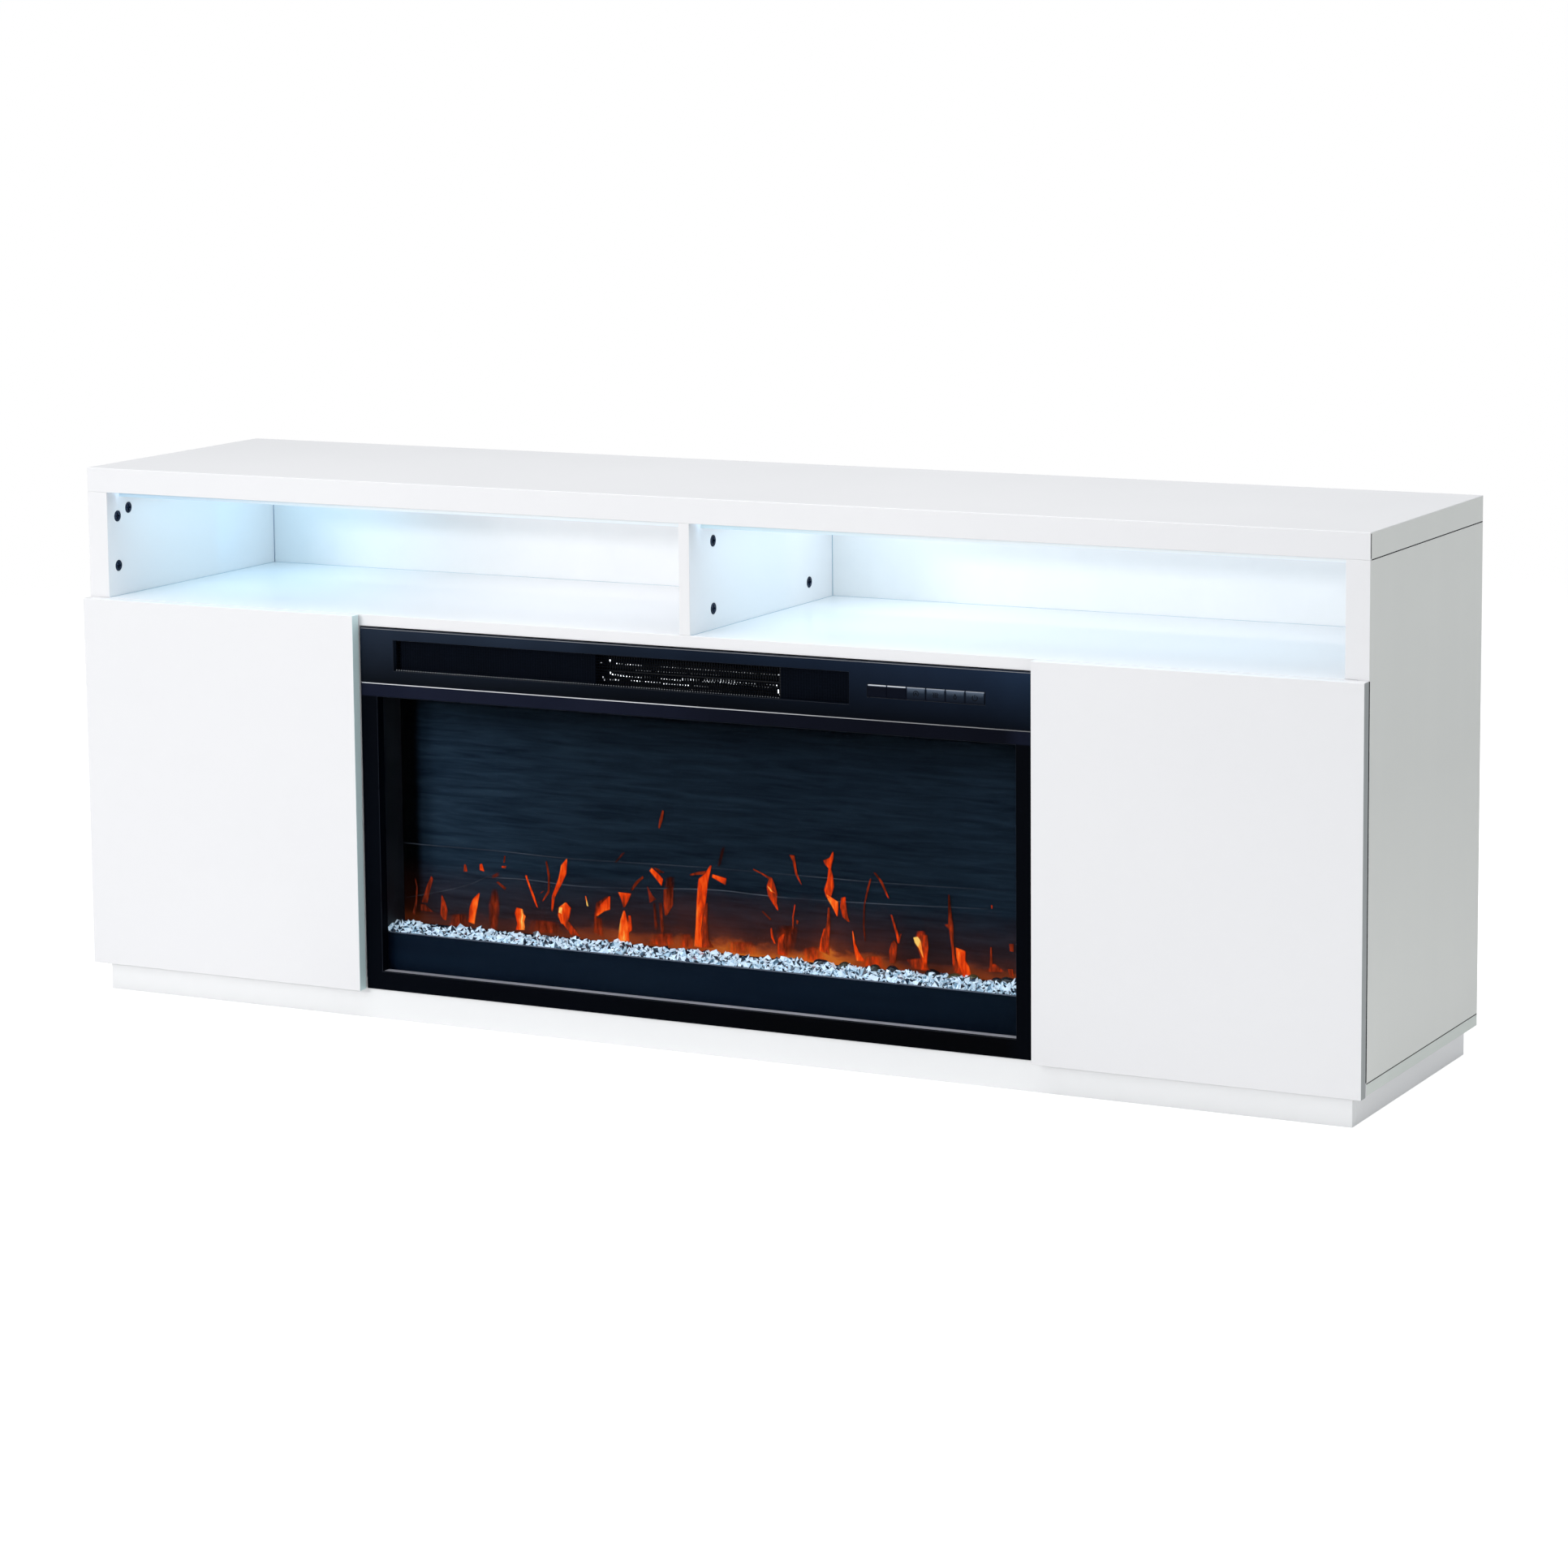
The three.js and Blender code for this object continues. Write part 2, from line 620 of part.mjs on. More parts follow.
// The bed of crystals: a long heap whose top is a grid of uneven facets, worked out from two crossing waves
function makeBed() {
  const half = insideHalf - 2 * fit;
  const near = trayFront + trayWall + fit;
  const far = trayBack - trayWall - fit;
  const foot = insideFloor + trayFloorHeight + trayWall + fit;
  const columns = Math.round((2 * half) / bedCellLength);
  const positions = [];
  const index = [];
  for (let row = 0; row <= bedRows; row += 1) {
    const across = row / bedRows;
    for (let column = 0; column <= columns; column += 1) {
      const along = column / columns;
      const [sineAlong, cosineAlong] = bedWaveShares.along;
      const [sineAcross, cosineAcross] = bedWaveShares.across;
      const sine = Math.sin(column * sineAlong + row * sineAcross);
      const cosine = Math.cos(column * cosineAlong - row * cosineAcross);
      const crown = bedEdge + (bedCrown - bedEdge) * Math.sin(Math.PI * across);
      const x = -half + 2 * half * along;
      const y = near + (far - near) * across;
      positions.push(x, y, foot, x, y, foot + crown + bedFacet * sine * cosine);
    }
  }
  const low = (row, column) => 2 * (row * (columns + 1) + column);
  const quad = (a, b, c, d) => index.push(a, b, c, a, c, d);
  for (let row = 0; row < bedRows; row += 1) {
    for (let column = 0; column < columns; column += 1) {
      const [a, b] = [low(row, column), low(row, column + 1)];
      const [c, d] = [low(row + 1, column + 1), low(row + 1, column)];
      quad(a + 1, b + 1, c + 1, d + 1);
      quad(d, c, b, a);
    }
  }
  for (let column = 0; column < columns; column += 1) {
    const [a, b] = [low(0, column), low(0, column + 1)];
    const [c, d] = [low(bedRows, column + 1), low(bedRows, column)];
    quad(a, b, b + 1, a + 1);
    quad(c, d, d + 1, c + 1);
  }
  for (let row = 0; row < bedRows; row += 1) {
    const [a, d] = [low(row, 0), low(row + 1, 0)];
    const [b, c] = [low(row, columns), low(row + 1, columns)];
    quad(d, a, a + 1, d + 1);
    quad(b, c, c + 1, b + 1);
  }
  const bed = new THREE.BufferGeometry();
  bed.setAttribute('position', new THREE.Float32BufferAttribute(positions, 3));
  bed.setIndex(index);
  bed.computeVertexNormals();
  place('crystal_bed', bed, crystal);
}

function makeScreen() {
  const half = insideHalf - fit;
  const across = [screenSetback, screenSetback + screenThickness];
  place('flame_screen', block([-half, half], across, [insideFloor, shelfUnderside - fit]), screenFilm);
}

// The rotor: a long shaft with foil blades, each turned on from the last, driven by a motor at its right end
function makeRotor() {
  const motorLeft = insideHalf - rotorMotorLength;
  const shaftEnd = motorLeft + rotorMotorSocket - fit;
  const centre = [0, rotorSetback, rotorZ];
  const shaft = bar('x', rotorShaftRadius, [-insideHalf + fit, shaftEnd], centre);
  const first = -insideHalf + rotorBossLength + rotorEndGap;
  const run = motorLeft - rotorEndGap - first;
  const pitch = run / rotorBladeCount;
  const blades = Array.from({ length: rotorBladeCount }, (_, number) => {
    const middle = first + pitch * (number + 1 / 2);
    const length = Math.min(rotorBladeLength, pitch - fit);
    const blade = new THREE.BoxGeometry(length, 2 * rotorBladeReach, rotorBladeThickness);
    blade.rotateX(THREE.MathUtils.degToRad(number * rotorBladeTurn));
    return blade.translate(middle, rotorSetback, rotorZ);
  });
  place('flame_rotor', join(shaft, ...blades), rotorFoil);
  const motor = bar('x', rotorMotorRadius, [motorLeft, insideHalf], centre, roundSides);
  const bored = [motorLeft - cutOverrun, motorLeft + rotorMotorSocket];
  const socket = bar('x', rotorShaftRadius + fit, bored, centre);
  place('rotor_motor', cut(motor, socket), casingSteel);
}

// The grille behind the slot: a frame with crossing bars
function makeGrille() {
  const across = [slotRimDepth + fit, slotRimDepth + fit + grilleThickness];
  const through = [slotRimDepth - cutOverrun, slotRimDepth + grilleThickness + cutOverrun];
  const cellLong = (slotRight - slotLeft - grilleBar * (grilleColumns - 1)) / grilleColumns;
  const cellTall = (slotHeight - grilleBar * (grilleRows - 1)) / grilleRows;
  const cells = Array.from({ length: grilleRows * grilleColumns }, (_, number) => {
    const x = slotLeft + (number % grilleColumns) * (cellLong + grilleBar);
    const z = slotFoot + Math.floor(number / grilleColumns) * (cellTall + grilleBar);
    return block([x, x + cellLong], through, [z, z + cellTall]);
  });
  const wide = [slotLeft - grilleLap, slotRight + grilleLap];
  const tall = [slotFoot - grilleLap, slotTop + grilleLap];
  place('outlet_grille', cut(block(wide, across, tall), ...cells), blackPlastic);
}

const heaterRight = slotRight - heaterFromSlotEnd;
const heaterLeft = heaterRight - heaterLength;
const housingLeft = heaterLeft - housingSideGap;
const housingRight = heaterRight + housingSideGap;
const housingFront = slotRimDepth + fit + grilleThickness + fit;
const housingBack = housingFront + housingDepth;
const housingTop = insideTop - fit;
const blowerZ = (shelfTop + housingTop) / 2;

// The duct: floor, roof, ends and a back with an intake, open at the front
function makeHousing() {
  const shell = block([housingLeft, housingRight], [housingFront, housingBack], [shelfTop, housingTop]);
  const duct = block(
    [housingLeft + housingWall, housingRight - housingWall],
    [housingFront - cutOverrun, housingBack - housingWall],
    [shelfTop + housingWall, housingTop - housingWall],
  );
  const intake = block(
    [housingLeft + intakeMargin, housingRight - intakeMargin],
    [housingBack - cutOverrun, housingBack + cutOverrun],
    [shelfTop + intakeMargin / 2, housingTop - intakeMargin / 2],
  );
  const shaftHole = bar('x', blowerShaftRadius + fit, [housingLeft - cutOverrun, housingRight + cutOverrun],
    [0, blowerSetback, blowerZ]);
  place('heater_housing', cut(shell, duct, intake, shaftHole), casingSteel);
}

// The heating element: two rows of fins in a frame that fills the duct
function makeHeater() {
  const foot = shelfTop + housingWall + fit;
  const top = housingTop - housingWall - fit;
  const left = housingLeft + housingWall + fit;
  const right = housingRight - housingWall - fit;
  const across = [heaterSetback, heaterSetback + heaterDepth];
  const through = [heaterSetback - cutOverrun, heaterSetback + heaterDepth + cutOverrun];
  const middle = (foot + top) / 2;
  const pitch = (heaterRight - heaterLeft) / heaterCells;
  const lower = [foot + heaterRail, middle - heaterMidRail / 2];
  const upper = [middle + heaterMidRail / 2, top - heaterRail];
  const cells = [lower, upper].flatMap((row) => Array.from({ length: heaterCells }, (_, number) => {
    const x = heaterLeft + number * pitch;
    return block([x + heaterFin / 2, x + pitch - heaterFin / 2], through, row);
  }));
  place('heater_element', cut(block([left, right], across, [foot, top]), ...cells), heaterMetal);
}

// The blower: blades between end discs on one shaft, with its motor outside the duct
function makeBlower() {
  const left = housingLeft + housingWall + blowerEndGap;
  const right = housingRight - housingWall - blowerEndGap;
  const motorRight = housingRight + blowerMotorLength;
  const centre = [0, blowerSetback, blowerZ];
  const shaft = bar('x', blowerShaftRadius, [housingLeft, housingRight + blowerMotorSocket - fit], centre);
  const discs = [left, (left + right - blowerDiscThickness) / 2, right - blowerDiscThickness].map((x) => (
    bar('x', blowerRadius, [x, x + blowerDiscThickness], centre, roundSides)
  ));
  const blades = Array.from({ length: blowerBladeCount }, (_, number) => {
    const blade = new THREE.BoxGeometry(right - left, blowerBladeThickness, blowerBladeDepth);
    blade.translate((left + right) / 2, 0, blowerRadius - blowerBladeDepth / 2 - blowerBladeThickness);
    blade.rotateX((2 * Math.PI * number) / blowerBladeCount);
    return blade.translate(0, blowerSetback, blowerZ);
  });
  place('blower_wheel', join(shaft, ...discs, ...blades), heaterMetal);
  const motor = bar('x', blowerMotorRadius, [housingRight, motorRight], centre, roundSides);
  const bored = [housingRight - cutOverrun, housingRight + blowerMotorSocket];
  const socket = bar('x', blowerShaftRadius + fit, bored, centre);
  place('blower_motor', cut(motor, socket), casingSteel);
}

// Push buttons: a cap in the fascia's window, a keeper behind the plate and a stem towards the board
function makeButtons() {
  const capBack = -frontPlate - buttonProud + buttonBody;
  const stemEnd = capBack + buttonStemLength;
  const middle = (buttonFoot + buttonTop) / 2;
  for (let number = 0; number < buttonCount; number += 1) {
    const left = buttonRowLeft + number * buttonPitch;
    const across = [left + buttonGap / 2, left + buttonPitch - buttonGap / 2];
    const cap = block(across, [-frontPlate - buttonProud, capBack], [buttonFoot, buttonTop]);
    const tall = [buttonFoot - buttonKeeper, buttonTop + buttonKeeper];
    const keeper = block(across, [fit, fit + buttonKeeper], tall);
    const axis = [left + buttonPitch / 2, 0, middle];
    const stem = bar('y', buttonStemRadius, [capBack - buttonKeeper, stemEnd], axis);
    place(`button_${number + 1}`, join(cap, keeper, stem), blackPlastic);
  }
  const near = stemEnd + buttonTravel + fit;
  const left = buttonRowLeft - boardMargin;
  const right = buttonRowRight + boardMargin;
  const foot = buttonFoot - boardRise;
  const top = buttonTop + boardRise;
  const plate = block([left, right], [near, near + boardThickness], [foot, top]);
  const posts = [left, right].flatMap((x, edge) => [foot, top].map((z, end) => {
    const px = edge ? x - boardPostInset : x + boardPostInset;
    const pz = end ? z - boardPostInset : z + boardPostInset;
    return bar('y', boardPostRadius, [0, near + boardThickness / 2], [px, 0, pz]);
  }));
  place('control_board', join(plate, ...posts), boardGreen);
}

// The gland: a turned bush through the casing's back
function makeGland() {
  const start = insideBack - glandStemInside;
  const flangeStart = casingDepth;
  const flangeEnd = flangeStart + glandFlangeThickness;
  const noseEnd = flangeEnd + glandNoseLength;
  const profile = [
    [glandBore, start], [glandStemRadius, start], [glandStemRadius, flangeStart],
    [glandFlangeRadius, flangeStart], [glandFlangeRadius, flangeEnd], [glandStemRadius, flangeEnd],
    [glandNoseRadius, noseEnd], [glandBore, noseEnd], [glandBore, start],
  ].map(([radius, y]) => new THREE.Vector2(radius, y));
  const gland = new THREE.LatheGeometry(profile, roundSides);
  place('cord_gland', toGeometry(toSolid(gland)).translate(glandX, 0, insideFloor + glandLift), blackPlastic);
}

makeCarcass();
makePlinth();
makeCams();
makeStrips();
makeDoors();
makeHinges();
makeGlassFrame();
makeFascia();
makeCasing();
makeGlass();
makeTray();
makeBed();
makeScreen();
makeRotor();
makeGrille();
makeHousing();
makeHeater();
makeBlower();
makeButtons();
makeGland();

export default stand;
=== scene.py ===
import math

import bmesh
import bpy
import numpy as np
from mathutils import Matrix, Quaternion, Vector


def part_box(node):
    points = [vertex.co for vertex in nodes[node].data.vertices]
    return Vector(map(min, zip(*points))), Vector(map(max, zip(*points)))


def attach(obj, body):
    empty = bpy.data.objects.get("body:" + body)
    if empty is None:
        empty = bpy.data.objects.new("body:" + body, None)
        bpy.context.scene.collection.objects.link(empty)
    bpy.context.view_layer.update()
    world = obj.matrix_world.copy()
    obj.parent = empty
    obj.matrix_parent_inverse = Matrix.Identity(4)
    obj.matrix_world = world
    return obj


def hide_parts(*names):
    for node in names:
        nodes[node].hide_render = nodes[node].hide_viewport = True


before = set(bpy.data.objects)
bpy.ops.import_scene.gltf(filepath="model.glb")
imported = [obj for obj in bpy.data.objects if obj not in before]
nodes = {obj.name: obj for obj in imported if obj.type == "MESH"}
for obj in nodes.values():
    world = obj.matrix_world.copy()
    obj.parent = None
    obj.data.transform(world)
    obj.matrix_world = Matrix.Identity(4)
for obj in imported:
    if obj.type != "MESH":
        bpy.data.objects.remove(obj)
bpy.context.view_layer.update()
scene = bpy.context.scene
mm = 0.001
print("frame loaded:", len(nodes), "nodes")

camera = {
    "place": (2.66323, -5.12518, 1.34942),
    "azimuth": 27.19,
    "elevation": 7.91,
    "roll": -0.52,
    "lens": 105.54,
    "sensor": 36,
    "shift": (0.0042, -0.1176),
    "picture": 1932,
    "near": 0.05,
    "far": 60,
}


def makeCamera():
    turn, lift = math.radians(camera["azimuth"]), math.radians(camera["elevation"])
    back = Vector((math.sin(turn) * math.cos(lift), -math.cos(turn) * math.cos(lift), math.sin(lift)))
    made = bpy.data.cameras.new("photoCamera")
    made.lens, made.sensor_width = camera["lens"], camera["sensor"]
    made.shift_x, made.shift_y = camera["shift"]
    made.clip_start, made.clip_end = camera["near"], camera["far"]
    eye = bpy.data.objects.new("photoCamera", made)
    scene.collection.objects.link(eye)
    level = (-back).to_track_quat("-Z", "Y")
    eye.rotation_mode = "QUATERNION"
    eye.rotation_quaternion = level @ Quaternion((0, 0, 1), math.radians(camera["roll"]))
    eye.location = camera["place"]
    scene.camera = eye
    axes = eye.rotation_quaternion.to_matrix()
    return np.array(axes.col[0]), np.array(axes.col[1]), -np.array(axes.col[2])


rightward, upward, forward = makeCamera()


def onPlane(pixels, planeY):
    # A pixel's ray runs from the camera's place through the picture, and stops where its Y is planeY
    focal = camera["lens"] / camera["sensor"] * camera["picture"]
    middle = camera["picture"] / 2
    centre = np.array([middle - camera["shift"][0] * camera["picture"],
                       middle + camera["shift"][1] * camera["picture"]])
    offset = (np.asarray(pixels, float) - centre) / focal
    rays = forward + offset[..., :1] * rightward - offset[..., 1:] * upward
    place = np.array(camera["place"])
    return place + rays * ((planeY - place[1]) / rays[..., 1])[..., None]


# Mesh making: a part is an array of points and a list of faces

def gridFaces(rows, columns, wrapRows=False, wrapColumns=False):
    # The four corners of each cell of a grid whose points are numbered row after row
    row = np.arange(rows if wrapRows else rows - 1)
    column = np.arange(columns if wrapColumns else columns - 1)
    row, column = (a.ravel() for a in np.meshgrid(row, column, indexing="ij"))
    nextRow, nextColumn = (row + 1) % rows, (column + 1) % columns
    return np.stack([row * columns + column, row * columns + nextColumn,
                     nextRow * columns + nextColumn, nextRow * columns + column], 1)


def closeUp(points, quads):
    # Points that share a place become one, and a face that loses a corner by it becomes a triangle
    step = 1e-7
    _, first, merged = np.unique(np.round(points / step), axis=0, return_index=True, return_inverse=True)
    quads = merged.ravel()[quads]
    same = quads == np.roll(quads, -1, axis=1)
    faces = quads[~same.any(axis=1)].tolist()
    for corner in range(4):
        thin = quads[same[:, corner] & (same.sum(axis=1) == 1)]
        faces += np.delete(thin, corner, axis=1).tolist()
    return points[first], faces


def repeated(part, places, turns=None):
    # One part set down at each place, each copy turned by its own matrix first
    points, faces = part
    count, size = len(places), len(points)
    spread = np.broadcast_to(points, (count, size, 3))
    if turns is not None:
        spread = spread @ np.swapaxes(turns, 1, 2)
    spread = (spread + np.asarray(places)[:, None]).reshape(-1, 3)
    byLength = {}
    for face in faces:
        byLength.setdefault(len(face), []).append(face)
    moved = []
    for group in byLength.values():
        shifted = np.array(group)[None] + (np.arange(count) * size)[:, None, None]
        moved += shifted.reshape(-1, len(group[0])).tolist()
    return spread, moved


def joined(*parts):
    points, faces, start = [], [], 0
    for places, corners in parts:
        points.append(places)
        faces += [[number + start for number in face] for face in corners]
        start += len(places)
    return np.concatenate(points), faces


def roundedBoard(low, high, radius, steps=3):
    # Each corner is an eighth of a ball: its centre plus the radius times a direction, with the direction's
    # two angles run over a grid, so that the arcs carry the flat faces between them
    low, high = np.array(low, float), np.array(high, float)
    quarter = np.linspace(0, math.pi / 2, steps + 1)
    tilt = np.concatenate([quarter, math.pi / 2 + quarter])
    turn = np.concatenate([quarter + math.pi / 2 * side for side in range(4)])
    tilts, turns = np.meshgrid(tilt, turn, indexing="ij")
    ball = np.stack([np.sin(tilts) * np.cos(turns), np.sin(tilts) * np.sin(turns), np.cos(tilts)], -1)
    quadrant = np.repeat(np.arange(4), steps + 1)
    signs = np.stack(np.broadcast_arrays(
        np.where((quadrant == 0) | (quadrant == 3), 1, -1)[None, :],
        np.where(quadrant < 2, 1, -1)[None, :],
        np.where(np.arange(len(tilt)) <= steps, 1, -1)[:, None]), -1)
    points = (low + high) / 2 + signs * ((high - low) / 2 - radius) + ball * radius
    points = points.reshape(-1, 3)
    quads = gridFaces(len(tilt), len(turn), wrapColumns=True)
    points, faces = closeUp(points, quads)
    for edge in (low[2], high[2]):
        cap = np.where(np.abs(points[:, 2] - edge) < 1e-9)[0]
        middle = points[cap].mean(axis=0)
        angle = np.arctan2(points[cap, 1] - middle[1], points[cap, 0] - middle[0])
        faces.append(cap[np.argsort(angle)].tolist())
    return points, faces


def carried(outline, axis, start, end):
    # An outline of pairs in the plane across an axis, carried along it and capped; pairs run yz, zx or xy
    outline = np.array(outline, float)
    order = {"x": (1, 2, 0), "y": (2, 0, 1), "z": (0, 1, 2)}[axis]
    count = len(outline)
    points = np.zeros((2 * count, 3))
    points[:, order[0]] = np.tile(outline[:, 0], 2)
    points[:, order[1]] = np.tile(outline[:, 1], 2)
    points[:, order[2]] = np.repeat([start, end], count)
    faces = gridFaces(2, count, wrapColumns=True).tolist()
    return points, faces + [list(range(count))[::-1], list(range(count, 2 * count))]


def turned(profile, axis, centre, sides=20):
    # A profile of (radius, along) pairs swept round an axis through a centre; a radius of zero closes a pole
    profile = np.array(profile, float)
    angle = np.arange(sides) / sides * 2 * math.pi
    order = {"x": (1, 2, 0), "y": (2, 0, 1), "z": (0, 1, 2)}[axis]
    points = np.zeros((len(profile), sides, 3))
    points[..., order[0]] = profile[:, :1] * np.cos(angle)
    points[..., order[1]] = profile[:, :1] * np.sin(angle)
    points[..., order[2]] = profile[:, 1:]
    ring = np.allclose(profile[0], profile[-1])
    if ring:
        points = points[:-1]
    quads = gridFaces(len(points), sides, wrapRows=ring, wrapColumns=True)
    return closeUp(points.reshape(-1, 3) + np.array(centre), quads)


def sheetBlock(across, upright, near, far):
    # Two sheets over one grid of X and Z places, at the near and the far Y, sewn together round the rim
    x, z = np.meshgrid(across, upright, indexing="ij")
    near, far = np.broadcast_to(near, x.shape), np.broadcast_to(far, x.shape)
    points = np.concatenate([np.stack([x, y, z], -1).reshape(-1, 3) for y in (near, far)])
    count = x.size
    index = np.arange(count).reshape(x.shape)
    quads = gridFaces(*x.shape)
    rim = np.concatenate([index[0, :-1], index[:-1, -1], index[-1, :0:-1], index[:0:-1, 0]])
    wall = np.stack([rim, np.roll(rim, -1), np.roll(rim, -1) + count, rim + count], 1)
    return points, np.concatenate([quads, quads[:, ::-1] + count, wall]).tolist()


def band(nearEdge, farEdge, thickness, sides=6):
    # A flat tube between two edge lines: the middle plus half the width times a cosine, and the depth times
    # a sine; one more ring without width at each end closes it
    edges = []
    for edge, other in ((nearEdge, farEdge), (farEdge, nearEdge)):
        tips = (edge[[0, -1]] + other[[0, -1]]) / 2
        edges.append(np.concatenate([tips[:1], edge, tips[1:]]))
    angle = np.arange(sides) / sides * 2 * math.pi
    middle, half = (edges[0] + edges[1]) / 2, (edges[1] - edges[0]) / 2
    depth = np.minimum(thickness, np.linalg.norm(half, axis=1))
    points = middle[:, None] + half[:, None] * np.cos(angle)[None, :, None]
    points = points + np.array([0, 1, 0]) * (depth[:, None] * np.sin(angle))[..., None]
    return points, gridFaces(len(middle), sides, wrapColumns=True)


def smoothed(points, count):
    # A curve through the points: a cubic whose slope at each is half the step between its neighbours
    points = np.asarray(points, float)
    padded = np.concatenate([2 * points[:1] - points[1:2], points, 2 * points[-1:] - points[-2:-1]])
    place = np.linspace(0, len(points) - 1, count)
    step = np.minimum(place.astype(int), len(points) - 2)
    t = (place - step)[:, None]
    a, b, c, d = (padded[step + k] for k in range(4))
    bend, twist = 2 * a - 5 * b + 4 * c - d, 3 * b - a - 3 * c + d
    return 0.5 * (2 * b + (c - a) * t + bend * t ** 2 + twist * t ** 3)


def settle(piece, looks, body="cabinet", standsFor=()):
    for look in looks:
        piece.data.materials.append(look)
    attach(piece, body)
    if standsFor:
        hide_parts(*standsFor)
    return piece


def meshOf(name, points, faces, smoothBelow=35):
    mesh = bpy.data.meshes.new(name)
    mesh.from_pydata(np.asarray(points).tolist(), [], faces)
    built = bmesh.new()
    built.from_mesh(mesh)
    bmesh.ops.recalc_face_normals(built, faces=built.faces)
    built.to_mesh(mesh)
    built.free()
    if smoothBelow:
        mesh.shade_smooth()
        mesh.set_sharp_from_angle(angle=math.radians(smoothBelow))
    piece = bpy.data.objects.new(name, mesh)
    scene.collection.objects.link(piece)
    return piece


def even(piece):
    # Large flat faces keep their own direction in the shading
    shading = piece.modifiers.new("evenShading", "WEIGHTED_NORMAL")
    shading.keep_sharp = True
    return piece


def softened(node, width, steps=2, edgeLook=False):
    # A copy of a CAD node with its triangles merged into flat faces and its sharp edges rounded
    bare = bmesh.new()
    bare.from_mesh(nodes[node].data)
    bmesh.ops.remove_doubles(bare, verts=bare.verts, dist=0.01 * mm)
    bmesh.ops.dissolve_limit(bare, angle_limit=math.radians(1), verts=bare.verts[:], edges=bare.edges[:])
    bare.verts.index_update()
    points = np.array([corner.co[:] for corner in bare.verts])
    faces = [[corner.index for corner in face.verts] for face in bare.faces]
    bare.free()
    piece = meshOf(node + "_shape", points, faces, smoothBelow=40)
    edges = piece.modifiers.new("softEdges", "BEVEL")
    edges.width, edges.segments = width * mm, steps
    edges.limit_method, edges.angle_limit = "ANGLE", math.radians(40)
    edges.harden_normals = True
    edges.material = 1 if edgeLook else -1
    return piece


# Finishes

finishing = {"toneStops": (0.32, 0.68), "roughStops": (0.3, 0.7), "liftDepth": 0.2, "broad": (4, 0.6),
             "fine": (3, 0.55)}
usual = {"skin": 900, "lift": 0.1, "specular": 0.5, "metal": 0, "coat": 0, "coatRoughness": 0.1, "brushed": 0,
         "grain": (1, 1, 1), "fades": []}


def wire(tree, kind, feeds=None, values=None, **settings):
    made = tree.nodes.new(kind)
    for key, value in settings.items():
        setattr(made, key, value)
    for key, value in (values or {}).items():
        made.inputs[key].default_value = value
    feed(tree, made, feeds or {})
    return made


def feed(tree, made, sources):
    for key, source in sources.items():
        tree.links.new(source, made.inputs[key])


def maths(tree, operation, *values):
    # Each value is a number or another node's socket
    made = wire(tree, "ShaderNodeMath", operation=operation)
    for number, value in enumerate(values):
        if hasattr(value, "links"):
            tree.links.new(value, made.inputs[number])
        else:
            made.inputs[number].default_value = value
    return made.outputs[0]


def ownPlace(tree, stretch=None, turn=(0, 0, 0)):
    # The object's own coordinates, or a stretched and turned copy of them
    place = wire(tree, "ShaderNodeTexCoord").outputs["Object"]
    if stretch is None:
        return place
    made = wire(tree, "ShaderNodeMapping", {"Vector": place}, {"Scale": stretch, "Rotation": turn})
    return made.outputs["Vector"]


def along(tree, axis):
    return wire(tree, "ShaderNodeSeparateXYZ", {0: ownPlace(tree)}).outputs[axis]


def noise(tree, place, scale, detail, roughness=0.5, distortion=0):
    made = wire(tree, "ShaderNodeTexNoise", {"Vector": place}, {
        "Scale": scale, "Detail": detail, "Roughness": roughness, "Distortion": distortion})
    return made.outputs["Fac"]


def mark(tree, name):
    return wire(tree, "ShaderNodeAttribute", attribute_name=name).outputs["Fac"]


def ramp(tree, source, stops, interpolation="LINEAR"):
    made = wire(tree, "ShaderNodeValToRGB", {"Fac": source})
    made.color_ramp.interpolation = interpolation
    while len(made.color_ramp.elements) < len(stops):
        made.color_ramp.elements.new(0.5)
    for element, (place, colour) in zip(made.color_ramp.elements, stops):
        element.position = place
        element.color = (*colour, 1) if hasattr(colour, "__len__") else (colour, colour, colour, 1)
    return made.outputs["Color"]


def span(tree, source, low, high, fromLow=0, fromHigh=1):
    made = wire(tree, "ShaderNodeMapRange", {"Value": source}, {
        "From Min": fromLow, "From Max": fromHigh, "To Min": low, "To Max": high})
    return made.outputs["Result"]


def fadeAlong(tree, axis, low, high, stops, interpolation="LINEAR"):
    return ramp(tree, span(tree, along(tree, axis), 0, 1, low, high), stops, interpolation)


def tinted(tree, first, second):
    # Two colours multiplied
    made = wire(tree, "ShaderNodeMix", {"A": first, "B": second}, {"Factor": 1}, data_type="RGBA",
                blend_type="MULTIPLY")
    return made.outputs["Result"]


def blankLook(name, **sockets):
    made = bpy.data.materials.new(name)
    made.use_nodes = True
    shader = made.node_tree.nodes["Principled BSDF"]
    for key, value in sockets.items():
        shader.inputs[key].default_value = value
    return made, made.node_tree, shader


